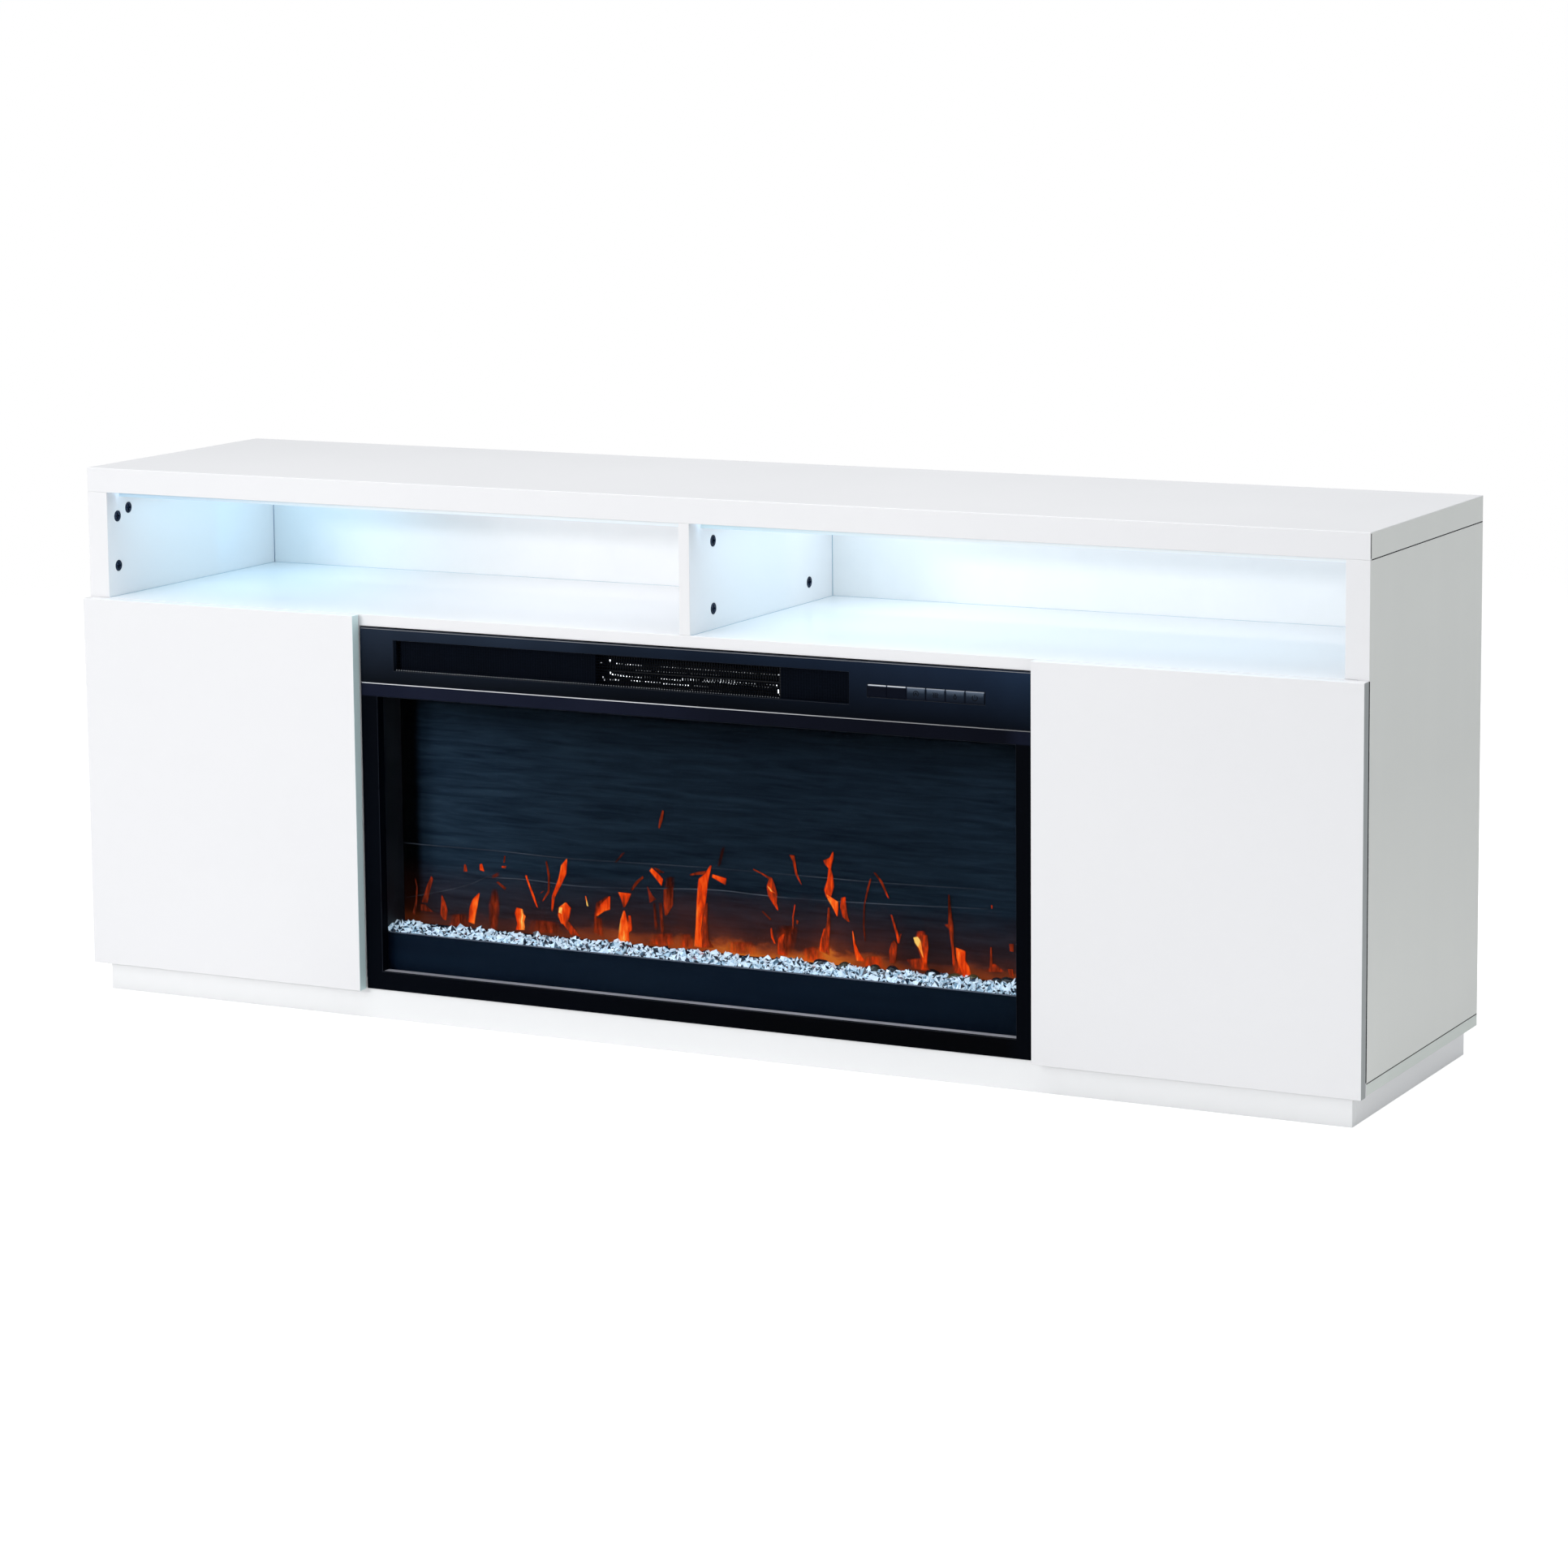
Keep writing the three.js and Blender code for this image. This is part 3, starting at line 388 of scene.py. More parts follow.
def finish(name, own):
    # Broad noise moves the colour between two tones and the roughness between two values; fine noise lifts
    # the skin; each fade paints light or shade into the colour, or paints a glow, along one axis
    s = {**usual, **own}
    made, tree, shader = blankLook(name, **{
        "Metallic": s["metal"], "Specular IOR Level": s["specular"], "Coat Weight": s["coat"],
        "Coat Roughness": s["coatRoughness"], "Anisotropic": s["brushed"]})
    stretched = ownPlace(tree, s["grain"])
    broad = noise(tree, stretched, s["patch"], *finishing["broad"])
    fine = noise(tree, stretched, s["skin"], *finishing["fine"])
    tone = ramp(tree, broad, list(zip(finishing["toneStops"], s["tones"])))
    for key, low, high, stops in s["fades"]:
        shade = fadeAlong(tree, key[-1], low, high, stops)
        if key.startswith("glow"):
            shader.inputs["Emission Strength"].default_value = 1
            feed(tree, shader, {"Emission Color": shade})
        else:
            tone = tinted(tree, tone, shade)
    lift = wire(tree, "ShaderNodeBump", {"Height": fine}, {
        "Strength": s["lift"], "Distance": finishing["liftDepth"] * mm})
    feed(tree, shader, {"Base Color": tone, "Normal": lift.outputs["Normal"],
                        "Roughness": span(tree, broad, *s["rough"], *finishing["roughStops"])})
    return made


whiteLacquer = finish("whiteLacquer", {
    "tones": [(0.855, 0.851, 0.865), (0.869, 0.864, 0.876)], "patch": 1.6, "rough": (0.3, 0.36), "skin": 520,
    "lift": 0.06, "coat": 0.2, "coatRoughness": 0.2})
# A darker, less blue copy of the lacquer for the faces that look along X, darker below and full at the top:
# painted shade
sideShadedLacquer = finish("sideShadedLacquer", {
    "tones": [(0.828, 0.842, 0.808), (0.848, 0.86, 0.826)], "patch": 2.4, "rough": (0.34, 0.42), "skin": 520,
    "lift": 0.08, "coat": 0.15, "coatRoughness": 0.25, "grain": (1, 6, 0.6), "fades": [
        ("Z", 0.03, 0.69, [(0, 0.94), (0.25, 0.925), (0.55, 0.93), (0.85, 1), (1, 1)])]})
# A brighter copy of the lacquer for the plinth: painted light against the shade under the overhang
plinthLitLacquer = finish("plinthLitLacquer", {
    "tones": [(0.935, 0.937, 0.942), (0.95, 0.952, 0.956)], "patch": 1.6, "rough": (0.34, 0.42), "skin": 520,
    "lift": 0.06, "coat": 0.15, "coatRoughness": 0.25})
backBoard = finish("backBoard", {
    "tones": [(0.83, 0.84, 0.85), (0.87, 0.875, 0.88)], "patch": 9, "rough": (0.45, 0.6), "lift": 0.12})
camZinc = finish("camZinc", {
    "tones": [(0.002, 0.006, 0.02), (0.008, 0.022, 0.06)], "patch": 160, "rough": (0.4, 0.6), "skin": 2200,
    "lift": 0.3, "metal": 0.2, "specular": 0.2})
# The door ends are the same lacquer; these copies paint their light: a pale teal on the left door's edge,
# painted light and shade, and a dark grey on the right door's edge, painted shade
leftDoorEdgeShaded = finish("leftDoorEdgeShaded", {
    "tones": [(0.69, 0.87, 0.88), (0.73, 0.9, 0.91)], "patch": 3, "rough": (0.4, 0.5), "skin": 700})
rightDoorEdgeShaded = finish("rightDoorEdgeShaded", {
    "tones": [(0.34, 0.365, 0.37), (0.38, 0.4, 0.405)], "patch": 3, "rough": (0.4, 0.5), "skin": 700})
bottomEdge = finish("bottomEdge", {
    "tones": [(0.71, 0.76, 0.72), (0.77, 0.81, 0.77)], "patch": 5, "rough": (0.45, 0.55), "skin": 700})
hingeSteel = finish("hingeSteel", {
    "tones": [(0.52, 0.53, 0.54), (0.68, 0.69, 0.7)], "patch": 60, "rough": (0.2, 0.34), "skin": 1400,
    "lift": 0.15, "metal": 1, "grain": (1, 1, 6), "brushed": 0.3})
screwSteel = finish("screwSteel", {
    "tones": [(0.45, 0.45, 0.44), (0.6, 0.6, 0.6)], "patch": 300, "rough": (0.25, 0.4), "skin": 2600,
    "lift": 0.2, "metal": 1})
# A dark finish for the screws' crosses: painted shade of their recesses
crossRecessShade = finish("crossRecessShade", {
    "tones": [(0.03, 0.03, 0.03), (0.06, 0.06, 0.06)], "patch": 300, "rough": (0.5, 0.7), "skin": 2600,
    "lift": 0.2, "metal": 0.6})
# The fascia's fades paint light and shade: darker towards its foot and lighter at its top, lighter towards both
# ends and darker right of the middle
fasciaBlack = finish("fasciaBlack", {
    "tones": [(0.0052, 0.009, 0.0178), (0.0088, 0.0155, 0.0295)], "patch": 3, "rough": (0.42, 0.55),
    "skin": 1700, "lift": 0.35, "specular": 0.022, "fades": [
        ("Z", 0.44, 0.511, [(0, 0.2), (0.2, 0.42), (0.7, 1), (1, 1.4)]),
        ("X", -0.47, 0.47, [(0, (1.9, 1.65, 1.45)), (0.3, (1.4, 1.3, 1.2)), (0.55, (0.7, 0.75, 0.8)),
            (0.85, (1.05, 1.15, 1.25)), (1, (1.5, 1.75, 1.9))])]})
# The frame's fades paint light and shade: the top bar keeps its lit navy, all below it is painted much darker,
# and it darkens towards the right
frameBlack = finish("frameBlack", {
    "tones": [(0.006, 0.008, 0.0185), (0.009, 0.0115, 0.025)], "patch": 5, "rough": (0.45, 0.6), "skin": 1700,
    "lift": 0.3, "specular": 0.022, "fades": [
        ("Z", 0.4215, 0.4235, [(0, (0.07, 0.12, 0.14)), (1, (1, 1, 1))]),
        ("X", -0.47, 0.47, [(0, 1.1), (0.35, 1), (0.62, 0.45), (0.96, 0.35), (0.98, 0.9)])]})
blackEdge = finish("blackEdge", {
    "tones": [(0.004, 0.006, 0.011), (0.011, 0.015, 0.025)], "patch": 40, "rough": (0.25, 0.35), "skin": 1300,
    "specular": 0.12})
# Painted highlights for the black plates, as thin strips; the seam's line fades darker towards the right
seamHighlight = finish("seamHighlight", {
    "tones": [(0.66, 0.67, 0.7), (0.88, 0.89, 0.92)], "patch": 5, "rough": (0.3, 0.45), "skin": 1300,
    "metal": 0.2, "specular": 0.2, "fades": [
        ("X", -0.47, 0.47, [(0, 1), (0.5, 0.9), (0.7, 0.5), (1, 0.25)])]})
ledgeHighlight = finish("ledgeHighlight", {
    "tones": [(0.32, 0.32, 0.36), (0.46, 0.46, 0.51)], "patch": 8, "rough": (0.45, 0.55), "skin": 1300})
fasciaTopHighlight = finish("fasciaTopHighlight", {
    "tones": [(0.1, 0.105, 0.12), (0.2, 0.21, 0.23)], "patch": 4, "rough": (0.4, 0.5), "skin": 1300,
    "metal": 0.2})
apronHighlight = finish("apronHighlight", {
    "tones": [(0.1, 0.12, 0.15), (0.16, 0.18, 0.22)], "patch": 6, "rough": (0.4, 0.5), "skin": 1300})
casingSteel = finish("casingSteel", {
    "tones": [(0.012, 0.013, 0.016), (0.022, 0.023, 0.027)], "patch": 24, "rough": (0.48, 0.66), "skin": 1500,
    "lift": 0.4, "metal": 0.2, "specular": 0.35})
blackPlastic = finish("blackPlastic", {
    "tones": [(0.004, 0.006, 0.011), (0.009, 0.012, 0.019)], "patch": 30, "rough": (0.4, 0.55), "skin": 1700,
    "lift": 0.25, "specular": 0.3})
# The tray's fade along X is painted light: warmer and brighter left of the middle, dimmer towards the right
trayBlack = finish("trayBlack", {
    "tones": [(0.001, 0.0042, 0.0125), (0.0028, 0.0085, 0.0205)], "patch": 4, "rough": (0.5, 0.65),
    "skin": 1200, "lift": 0.15, "specular": 0.04, "grain": (0.5, 1, 6), "fades": [
        ("X", -0.47, 0.47, [(0, (1.3, 1.3, 1.15)), (0.4, (2.6, 1.9, 1.4)), (0.6, (1.8, 1.5, 1.2)),
            (1, (1, 1, 0.8))])]})
iconPaint = finish("iconPaint", {
    "tones": [(0.001, 0.001, 0.002), (0.003, 0.003, 0.005)], "patch": 200, "rough": (0.7, 0.85), "skin": 2600,
    "specular": 0.05})
rotorFoil = finish("rotorFoil", {
    "tones": [(0.7, 0.71, 0.73), (0.85, 0.86, 0.88)], "patch": 45, "rough": (0.08, 0.22), "skin": 260,
    "lift": 0.5, "metal": 1})
heaterMetal = finish("heaterMetal", {
    "tones": [(0.006, 0.0065, 0.0075), (0.02, 0.021, 0.023)], "patch": 90, "rough": (0.4, 0.6), "skin": 1500,
    "lift": 0.3, "metal": 0.5, "specular": 0.3})
wheelMetal = finish("wheelMetal", {
    "tones": [(0.3, 0.31, 0.32), (0.45, 0.46, 0.47)], "patch": 60, "rough": (0.3, 0.45), "skin": 1500,
    "lift": 0.2, "metal": 0.9})
meshBlack = finish("meshBlack", {
    "tones": [(0.002, 0.0035, 0.0075), (0.0032, 0.0052, 0.0105)], "patch": 30, "rough": (0.6, 0.8),
    "skin": 1700, "specular": 0.03})
# The strip channel's blue tone and its glow along X are painted light: the channel is no lamp
stripChannelPaintedGlow = finish("stripChannelPaintedGlow", {
    "tones": [(0.53, 0.73, 0.87), (0.56, 0.76, 0.9)], "patch": 12, "rough": (0.35, 0.45),
    "grain": (0.05, 1, 1), "fades": [
        ("glow X", -0.86, 0.86, [(0, (0.02, 0.05, 0.08)), (0.25, (0.34, 0.24, 0.16)),
            (0.49, (0.36, 0.26, 0.18)), (0.503, (0.12, 0.16, 0.14)), (0.7, (0.34, 0.25, 0.17)),
            (1, (0.34, 0.24, 0.16))])]})
clearPad = finish("clearPad", {
    "tones": [(0.6, 0.62, 0.64), (0.72, 0.74, 0.76)], "patch": 120, "rough": (0.1, 0.25), "coat": 0.5})
seamShade = finish("seamShade", {
    "tones": [(0.01, 0.011, 0.012), (0.03, 0.032, 0.034)], "patch": 20, "rough": (0.7, 0.9), "lift": 0.2,
    "specular": 0.05})
bayCorner = finish("bayCorner", {
    "tones": [(0.012, 0.06, 0.16), (0.03, 0.11, 0.25)], "patch": 6, "rough": (0.7, 0.9), "lift": 0.2,
    "specular": 0.1})
bayJoint = finish("bayJoint", {
    "tones": [(0.22, 0.4, 0.5), (0.4, 0.56, 0.66)], "patch": 4, "rough": (0.7, 0.9), "lift": 0.2,
    "specular": 0.1})


def lightLook(name, pitch, tint, strength):
    # Diodes at an even pitch glow through a milky lens: a wave along X, narrowed by a ramp
    made, tree, shader = blankLook(name, **{"Roughness": 0.35, "Emission Color": (*tint, 1)})
    wave = maths(tree, "COSINE", maths(tree, "MULTIPLY", along(tree, "X"), 2 * math.pi / (pitch * mm)))
    glow = span(tree, wave, strength * 0.45, strength, -1, 1)
    feed(tree, shader, {"Base Color": ramp(tree, glow, [(0, (0.75, 0.85, 0.92)), (1, (0.85, 0.93, 1))]),
                        "Emission Strength": glow})
    return made


def glassLook():
    # Thin smoked pane: mostly clear, with the mirror share rising towards grazing as on real glass
    made, tree, shader = blankLook("smokedGlass")
    clear = wire(tree, "ShaderNodeBsdfTransparent", values={"Color": (0.9, 0.92, 0.95, 1)})
    smear = noise(tree, ownPlace(tree), 7, 3)
    gloss = wire(tree, "ShaderNodeBsdfGlossy", {"Roughness": span(tree, smear, 0.02, 0.07)}, {
        "Color": (0.45, 0.68, 1, 1)})
    share = wire(tree, "ShaderNodeFresnel", values={"IOR": 1.05})
    # Only the outer faces mirror: from behind, the share would turn into full reflection at a slant
    front = maths(tree, "SUBTRACT", 1, wire(tree, "ShaderNodeNewGeometry").outputs["Backfacing"])
    part = maths(tree, "MULTIPLY", share.outputs[0], front)
    mixed = wire(tree, "ShaderNodeMixShader", {0: part, 1: clear.outputs[0], 2: gloss.outputs[0]})
    feed(tree, tree.nodes["Material Output"], {"Surface": mixed.outputs[0]})
    tree.nodes.remove(shader)
    return made


def crystalLook(name, stops, glow):
    # Each facet carries its own shine number, which picks its colour, painted shade to painted highlight, and a
    # painted glow
    made, tree, shader = blankLook(name, **{"Roughness": 0.1, "Specular IOR Level": 0.7, "Coat Weight": 0.3,
                                            "Emission Strength": glow})
    cloud = span(tree, noise(tree, ownPlace(tree), 260, 2), -0.14, 0.14)
    colour = ramp(tree, maths(tree, "ADD", mark(tree, "shine"), cloud), stops)
    feed(tree, shader, {"Base Color": colour, "Emission Color": colour})
    return made


# The side and head fades paint light and shade on the film: darker at its left edge with a lighter band just
# inside, lighter at its right edge, darker towards its top; the last ramp is a painted glow rising from the
# crystals
screenTones = {
    "film": [(0.3, (0.0035, 0.0087, 0.0158)), (0.75, (0.0148, 0.028, 0.0415))],
    "side": ("X", -0.463, 0.463, [
        (0, 0.03), (0.02, 0.07), (0.036, 2), (0.053, 2.15), (0.127, 1.8), (0.23, 1.4), (0.33, 1.15),
        (0.45, 1.02), (0.8, 1), (0.91, 1.25), (1, 1.25)], "EASE"),
    "head": ("Z", 0.43, 0.33, [(0, 0.1), (0.2, 0.27), (0.45, 0.62), (0.7, 0.88), (1, 1)]),
    "lowTint": ("Z", 0.11, 0.2, [(0, (0.8, 0.35, 0.25)), (0.45, (0.9, 0.65, 0.6)), (1, (1, 1, 1))]),
    "height": (0.116, 0.196, [(0, 1), (0.1, 0.74), (0.19, 0.28), (0.36, 0.15), (0.7, 0.07), (1, 0)]),
    "spread": ("X", -0.463, 0.463, [
        (0, 0.25), (0.25, 0.4), (0.35, 0.5), (0.45, 0.85), (0.66, 1.05), (0.74, 0.9), (0.8, 0.4), (1, 0.5)]),
    "paintedGlow": [(0, (0, 0, 0)), (0.06, (0.014, 0.003, 0.001)), (0.25, (0.075, 0.013, 0.003)),
             (0.7, (0.33, 0.052, 0.005)), (1, (0.62, 0.14, 0.012))],
}


def screenLook():
    # Dark film with long faint streaks, painted shade at its left edge and top, and darker, redder towards the
    # crystals; a brown-orange glow, painted light, fades upwards from the crystals
    made, tree, shader = blankLook("flameScreen", **{"Roughness": 0.6, "Specular IOR Level": 0.03,
                                                     "Emission Strength": 1})
    streak = noise(tree, ownPlace(tree, (2.2, 1, 30), (0, math.radians(2.5), 0)), 5, 6, 0.62, 0.5)
    shaded = maths(tree, "MULTIPLY", *[fadeAlong(tree, *screenTones[key]) for key in ("side", "head")])
    for tone in (fadeAlong(tree, *screenTones["lowTint"]), ramp(tree, streak, screenTones["film"])):
        shaded = tinted(tree, tone, shaded)
    cloud = span(tree, noise(tree, ownPlace(tree, (1, 1, 1.7)), 40, 3), -0.014, 0.014)
    low, high, stops = screenTones["height"]
    height = ramp(tree, span(tree, maths(tree, "ADD", along(tree, "Z"), cloud), 0, 1, low, high), stops)
    wide = span(tree, noise(tree, ownPlace(tree), 11, 2), 0.5, 1.3, 0.3, 0.7)
    heat = maths(tree, "MULTIPLY", height, wide)
    heat = maths(tree, "MULTIPLY", heat, fadeAlong(tree, *screenTones["spread"]))
    feed(tree, shader, {"Base Color": shaded, "Emission Color": ramp(tree, heat, screenTones["paintedGlow"])})
    return made


def glowLook(name, stops, strength):
    # Light drawn on the screen: the warmth attribute picks the colour, and fade lets the screen show through
    made, tree, shader = blankLook(name, **{
        "Base Color": (0, 0, 0, 1), "Roughness": 1, "Specular IOR Level": 0, "Emission Strength": strength})
    lick = span(tree, noise(tree, ownPlace(tree, (1, 1, 0.25)), 260, 2), -0.2, 0.14, 0.25, 0.75)
    colour = ramp(tree, maths(tree, "ADD", mark(tree, "warmth"), lick), stops)
    feed(tree, shader, {"Emission Color": colour, "Alpha": mark(tree, "fade")})
    return made


def glintLook(name, base, tint):
    # Painted glints: small bright spots that glow, each with its own glint number for how much light it gives
    # off
    made, tree, shader = blankLook(name, **{"Roughness": 0.4, "Base Color": (*base, 1),
                                            "Emission Color": (*tint, 1)})
    feed(tree, shader, {"Emission Strength": mark(tree, "glint")})
    return made


def capLook(stops):
    # Satin cap whose lit number runs from black plastic to a pale grey along its crown: painted light and shade
    made, tree, shader = blankLook("buttonCap", **{"Roughness": 0.4, "Specular IOR Level": 0.03})
    grain = span(tree, noise(tree, ownPlace(tree), 900, 3), -0.05, 0.05)
    feed(tree, shader, {"Base Color": ramp(tree, maths(tree, "ADD", mark(tree, "lit"), grain), stops)})
    return made


def circuitLook():
    # Green solder mask with copper tracks under it, as bands of a stretched cell pattern
    made, tree, shader = blankLook("circuitBoard", **{"Roughness": 0.35})
    cells = wire(tree, "ShaderNodeTexBrick", {"Vector": ownPlace(tree)}, {
        "Scale": 90, "Mortar Size": 0.035, "Color1": (0.012, 0.07, 0.035, 1), "Color2": (0.01, 0.055, 0.03, 1),
        "Mortar": (0.05, 0.16, 0.07, 1)})
    feed(tree, shader, {"Base Color": cells.outputs["Color"]})
    return made


stripGlow = lightLook("stripGlow", 16.7, (0.62, 0.84, 1), 2.4)
emberGlow = lightLook("emberGlow", 25, (1, 0.42, 0.12), 1.6)
smokedGlass = glassLook()
clearCrystal = crystalLook("clearCrystal", [
    (0, (0.003, 0.007, 0.016)), (0.25, (0.02, 0.04, 0.07)), (0.45, (0.24, 0.42, 0.54)),
    (0.75, (0.78, 0.92, 1))], 0.5)
darkPebble = crystalLook("darkPebble", [
    (0, (0.003, 0.004, 0.006)), (0.5, (0.012, 0.018, 0.024)), (0.8, (0.05, 0.05, 0.025)),
    (1, (0.12, 0.09, 0.03))], 0.25)
flameScreen = screenLook()
flameGlow = glowLook("flameGlow", [
    (0, (0.02, 0.004, 0.002)), (0.22, (0.07, 0.01, 0.004)), (0.42, (0.26, 0.026, 0.007)),
    (0.6, (0.75, 0.045, 0.004)), (0.78, (1, 0.115, 0.01)), (0.92, (1, 0.27, 0.035)),
    (1, (1, 0.6, 0.13))], 1.15)
waveGlow = glowLook("waveGlow", [(0, (0.03, 0.04, 0.055)), (1, (0.18, 0.2, 0.235))], 1)
circuitBoard = circuitLook()
paintedGlint = glintLook("paintedGlint", (0.5, 0.52, 0.55), (0.9, 0.95, 1))
buttonCap = capLook([
    (0, (0.0022, 0.0035, 0.009)), (0.3, (0.014, 0.022, 0.037)), (0.6, (0.1, 0.13, 0.18)),
    (1, (0.62, 0.64, 0.68))])
print("finishes made")


# Cabinet boards

boards = {"round": 0.7, "backRound": 0.25, "inset": 0.06, "seamDeep": 4, "seamHalf": 0.65, "seamRound": 0.04,
          "gap": 1.5}
lacquered = ["top_panel", "deck_shelf", "bottom_panel", "left_partition", "right_partition",
             "plinth_front", "plinth_back", "plinth_left", "plinth_right"]
backs = ["upper_back_panel", "left_back_panel", "right_back_panel"]
leftRight = (("left", -1), ("right", 1))


def blocks(boxes, radius, steps=1):
    return [roundedBoard(low, high, radius * mm, steps) for low, high in boxes]


def addPiece(name, parts, looks, body="cabinet", standsFor=()):
    return settle(meshOf(name, *joined(*parts)), looks, body, standsFor)


def shadeEnds(piece, look, outer=0):
    # The faces that look along X take the second finish, or only those that lie as far out as the outer face
    piece.data.materials.append(look)
    facing, middle = (np.zeros(len(piece.data.polygons) * 3, np.float32) for _ in range(2))
    piece.data.polygons.foreach_get("normal", facing)
    piece.data.polygons.foreach_get("center", middle)
    chosen = (np.abs(facing[::3]) > 0.99) & (np.abs(middle[::3]) > outer - mm)
    piece.data.polygons.foreach_set("material_index", chosen.astype(np.int32))


def makeBoards():
    for node in lacquered + backs:
        low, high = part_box(node)
        low.x, high.x = low.x + boards["inset"] * mm, high.x - boards["inset"] * mm
        isBack = node in backs
        radius = boards["backRound" if isBack else "round"]
        piece = even(meshOf(node + "_board", *roundedBoard(low, high, radius * mm)))
        # The plinth boards take the brighter copy of the lacquer: painted light
        look = backBoard if isBack else plinthLitLacquer if node.startswith("plinth") else whiteLacquer
        settle(piece, [look], standsFor=[node])
        # The top board's ends take the side copy of the lacquer, painted shade; the bottom board's ends take
        # their own edge colour
        if node in ("bottom_panel", "top_panel"):
            shadeEnds(piece, bottomEdge if node == "bottom_panel" else sideShadedLacquer)
    for node in ["left_side_panel", "right_side_panel", "centre_divider"]:
        piece = softened(node, boards["round"])
        settle(piece, [whiteLacquer], standsFor=[node])
        # The side panels' outer faces take the side copy of the lacquer: painted shade
        if node != "centre_divider":
            shadeEnds(piece, sideShadedLacquer, abs(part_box("top_panel")[0].x))
    # Each door's end faces take their copy with painted light and shade
    for side, edge in (("left", leftDoorEdgeShaded), ("right", rightDoorEdgeShaded)):
        piece = softened(side + "_door", boards["round"])
        settle(piece, [whiteLacquer], side + "_door", [side + "_door"])
        shadeEnds(piece, edge)


def makeSeams():
    # Dark shadow lines: under the top and over the bottom board along the sides, up the top's front edge,
    # and in the gap between each door and the side board's front
    top, bottom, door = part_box("top_panel"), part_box("bottom_panel"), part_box("right_door")
    half, deep, gap = (boards[key] * mm for key in ("seamHalf", "seamDeep", "gap"))
    front, back = top[0].y, top[1].y
    for side, sign in leftRight:
        outer = top[1].x if sign > 0 else top[0].x
        wide, thin = (sorted([outer - sign * reach, outer]) for reach in (deep, gap))
        lines = [((wide[0], front + 3 * gap, top[0].z - half), (wide[1], back - gap, top[0].z + half)),
                 ((wide[0], front + gap, bottom[1].z - half), (wide[1], back - gap, bottom[1].z + half)),
                 ((wide[0], front + gap / 2, top[0].z + gap), (wide[1], front + 2 * gap, top[1].z - gap)),
                 ((thin[0], front - gap / 7, bottom[1].z + gap), (thin[1], front + gap, door[1].z - gap / 3))]
        addPiece(side + "_seams", blocks(lines, boards["seamRound"]), [seamShade])


makeBoards()
makeSeams()
print("boards made")

# Fastenings: cams, screws, pads

cams = {"radius": 7.2, "proud": 0.35, "sink": 2, "edge": 0.3, "sides": 28, "slot": (4.2, 1.3, 0.5),
        "slotRound": 0.1}
# The cams in the faces that look left are shallow caps on the boards, across from the ones that look right
leftCams = {"right_side_cams": (1, "left_side_cam_", ["front_upper", "rear_upper", "front_lower"]),
            "divider_left_cams": (-1, "divider_cam_", ["front_upper", "front_lower", "rear_lower"])}


def makeCams():
    for node in [name for name in nodes if "_cam_" in name]:
        settle(softened(node, cams["edge"]), [camZinc], standsFor=[node])
    radius, proud, sink, edge = (cams[key] * mm for key in ("radius", "proud", "sink", "edge"))
    long, wide, rise = (value * mm for value in cams["slot"])
    cap = [(0, sink), (radius, sink), (radius, -proud * 0.5), (radius - edge, -proud),
           (radius * 0.72, -proud), (radius * 0.6, -proud * 0.4), (0, -proud * 0.4)]
    for name, (sign, board, spots) in leftCams.items():
        parts = []
        for spot in spots:
            low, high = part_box(board + spot)
            face, y, z = sign * abs(high.x), (low.y + high.y) / 2, (low.z + high.z) / 2
            parts.append(turned(cap, "x", (face, y, z), cams["sides"]))
            near, far = face - proud * 0.9, face + rise
            parts += blocks([((near, y - deep, z - tall / 2), (far, y + deep, z + tall / 2))
                             for deep, tall in ((long, wide), (wide, long))], cams["slotRound"])
        addPiece(name, parts, [camZinc])


screw = {"radius": 3.3, "rise": 1.3, "sink": 0.4, "shoulder": 0.35, "cross": 3.4, "crossWidth": 0.75,
         "crossUp": 0.75, "crossDeep": 0.28, "crossRound": 0.08, "sides": 16}


def screwAt(axis, sign, centre, size=1):
    # A low dome on a short cylinder, with a dark cross set into the dome's crown: painted shade of the recess
    radius, rise, long, wide = (screw[key] * size * mm for key in ("radius", "rise", "cross", "crossWidth"))
    sink, shoulder = screw["sink"] * mm * sign, screw["shoulder"]
    dome = [(0, -sink), (radius, -sink)]
    dome += [(radius * math.cos(a), sign * (shoulder * rise + (1 - shoulder) * rise * math.sin(a)))
             for a in np.linspace(0, math.pi / 2, 5)[:-1]]
    head = turned(dome + [(0, sign * rise)], axis, centre, screw["sides"])
    number = "xyz".index(axis)
    middle = np.array(centre, float)
    middle[number] += sign * rise * screw["crossUp"]
    boxes = []
    for turn in (0, 1):
        half = np.full(3, wide / 2)
        half[(number + 1 + turn) % 3] = long / 2
        half[number] = rise * screw["crossDeep"]
        boxes.append((middle - half, middle + half))
    return head, joined(*blocks(boxes, screw["crossRound"]))


def screwsPiece(name, screws, body="cabinet"):
    heads, crosses = (joined(*parts) for parts in zip(*screws))
    piece = addPiece(name, [heads, crosses], [screwSteel, crossRecessShade], body)
    numbers = np.zeros(len(piece.data.polygons), np.int32)
    numbers[len(heads[1]):] = 1
    piece.data.polygons.foreach_set("material_index", numbers)


hinge = {"edge": 0.3, "board": 15, "plate": 2, "plateScrewBack": 49, "plateScrewReach": 16, "wingIn": 6.5,
         "wingScrewReach": 24, "wingScrewSize": 0.85}


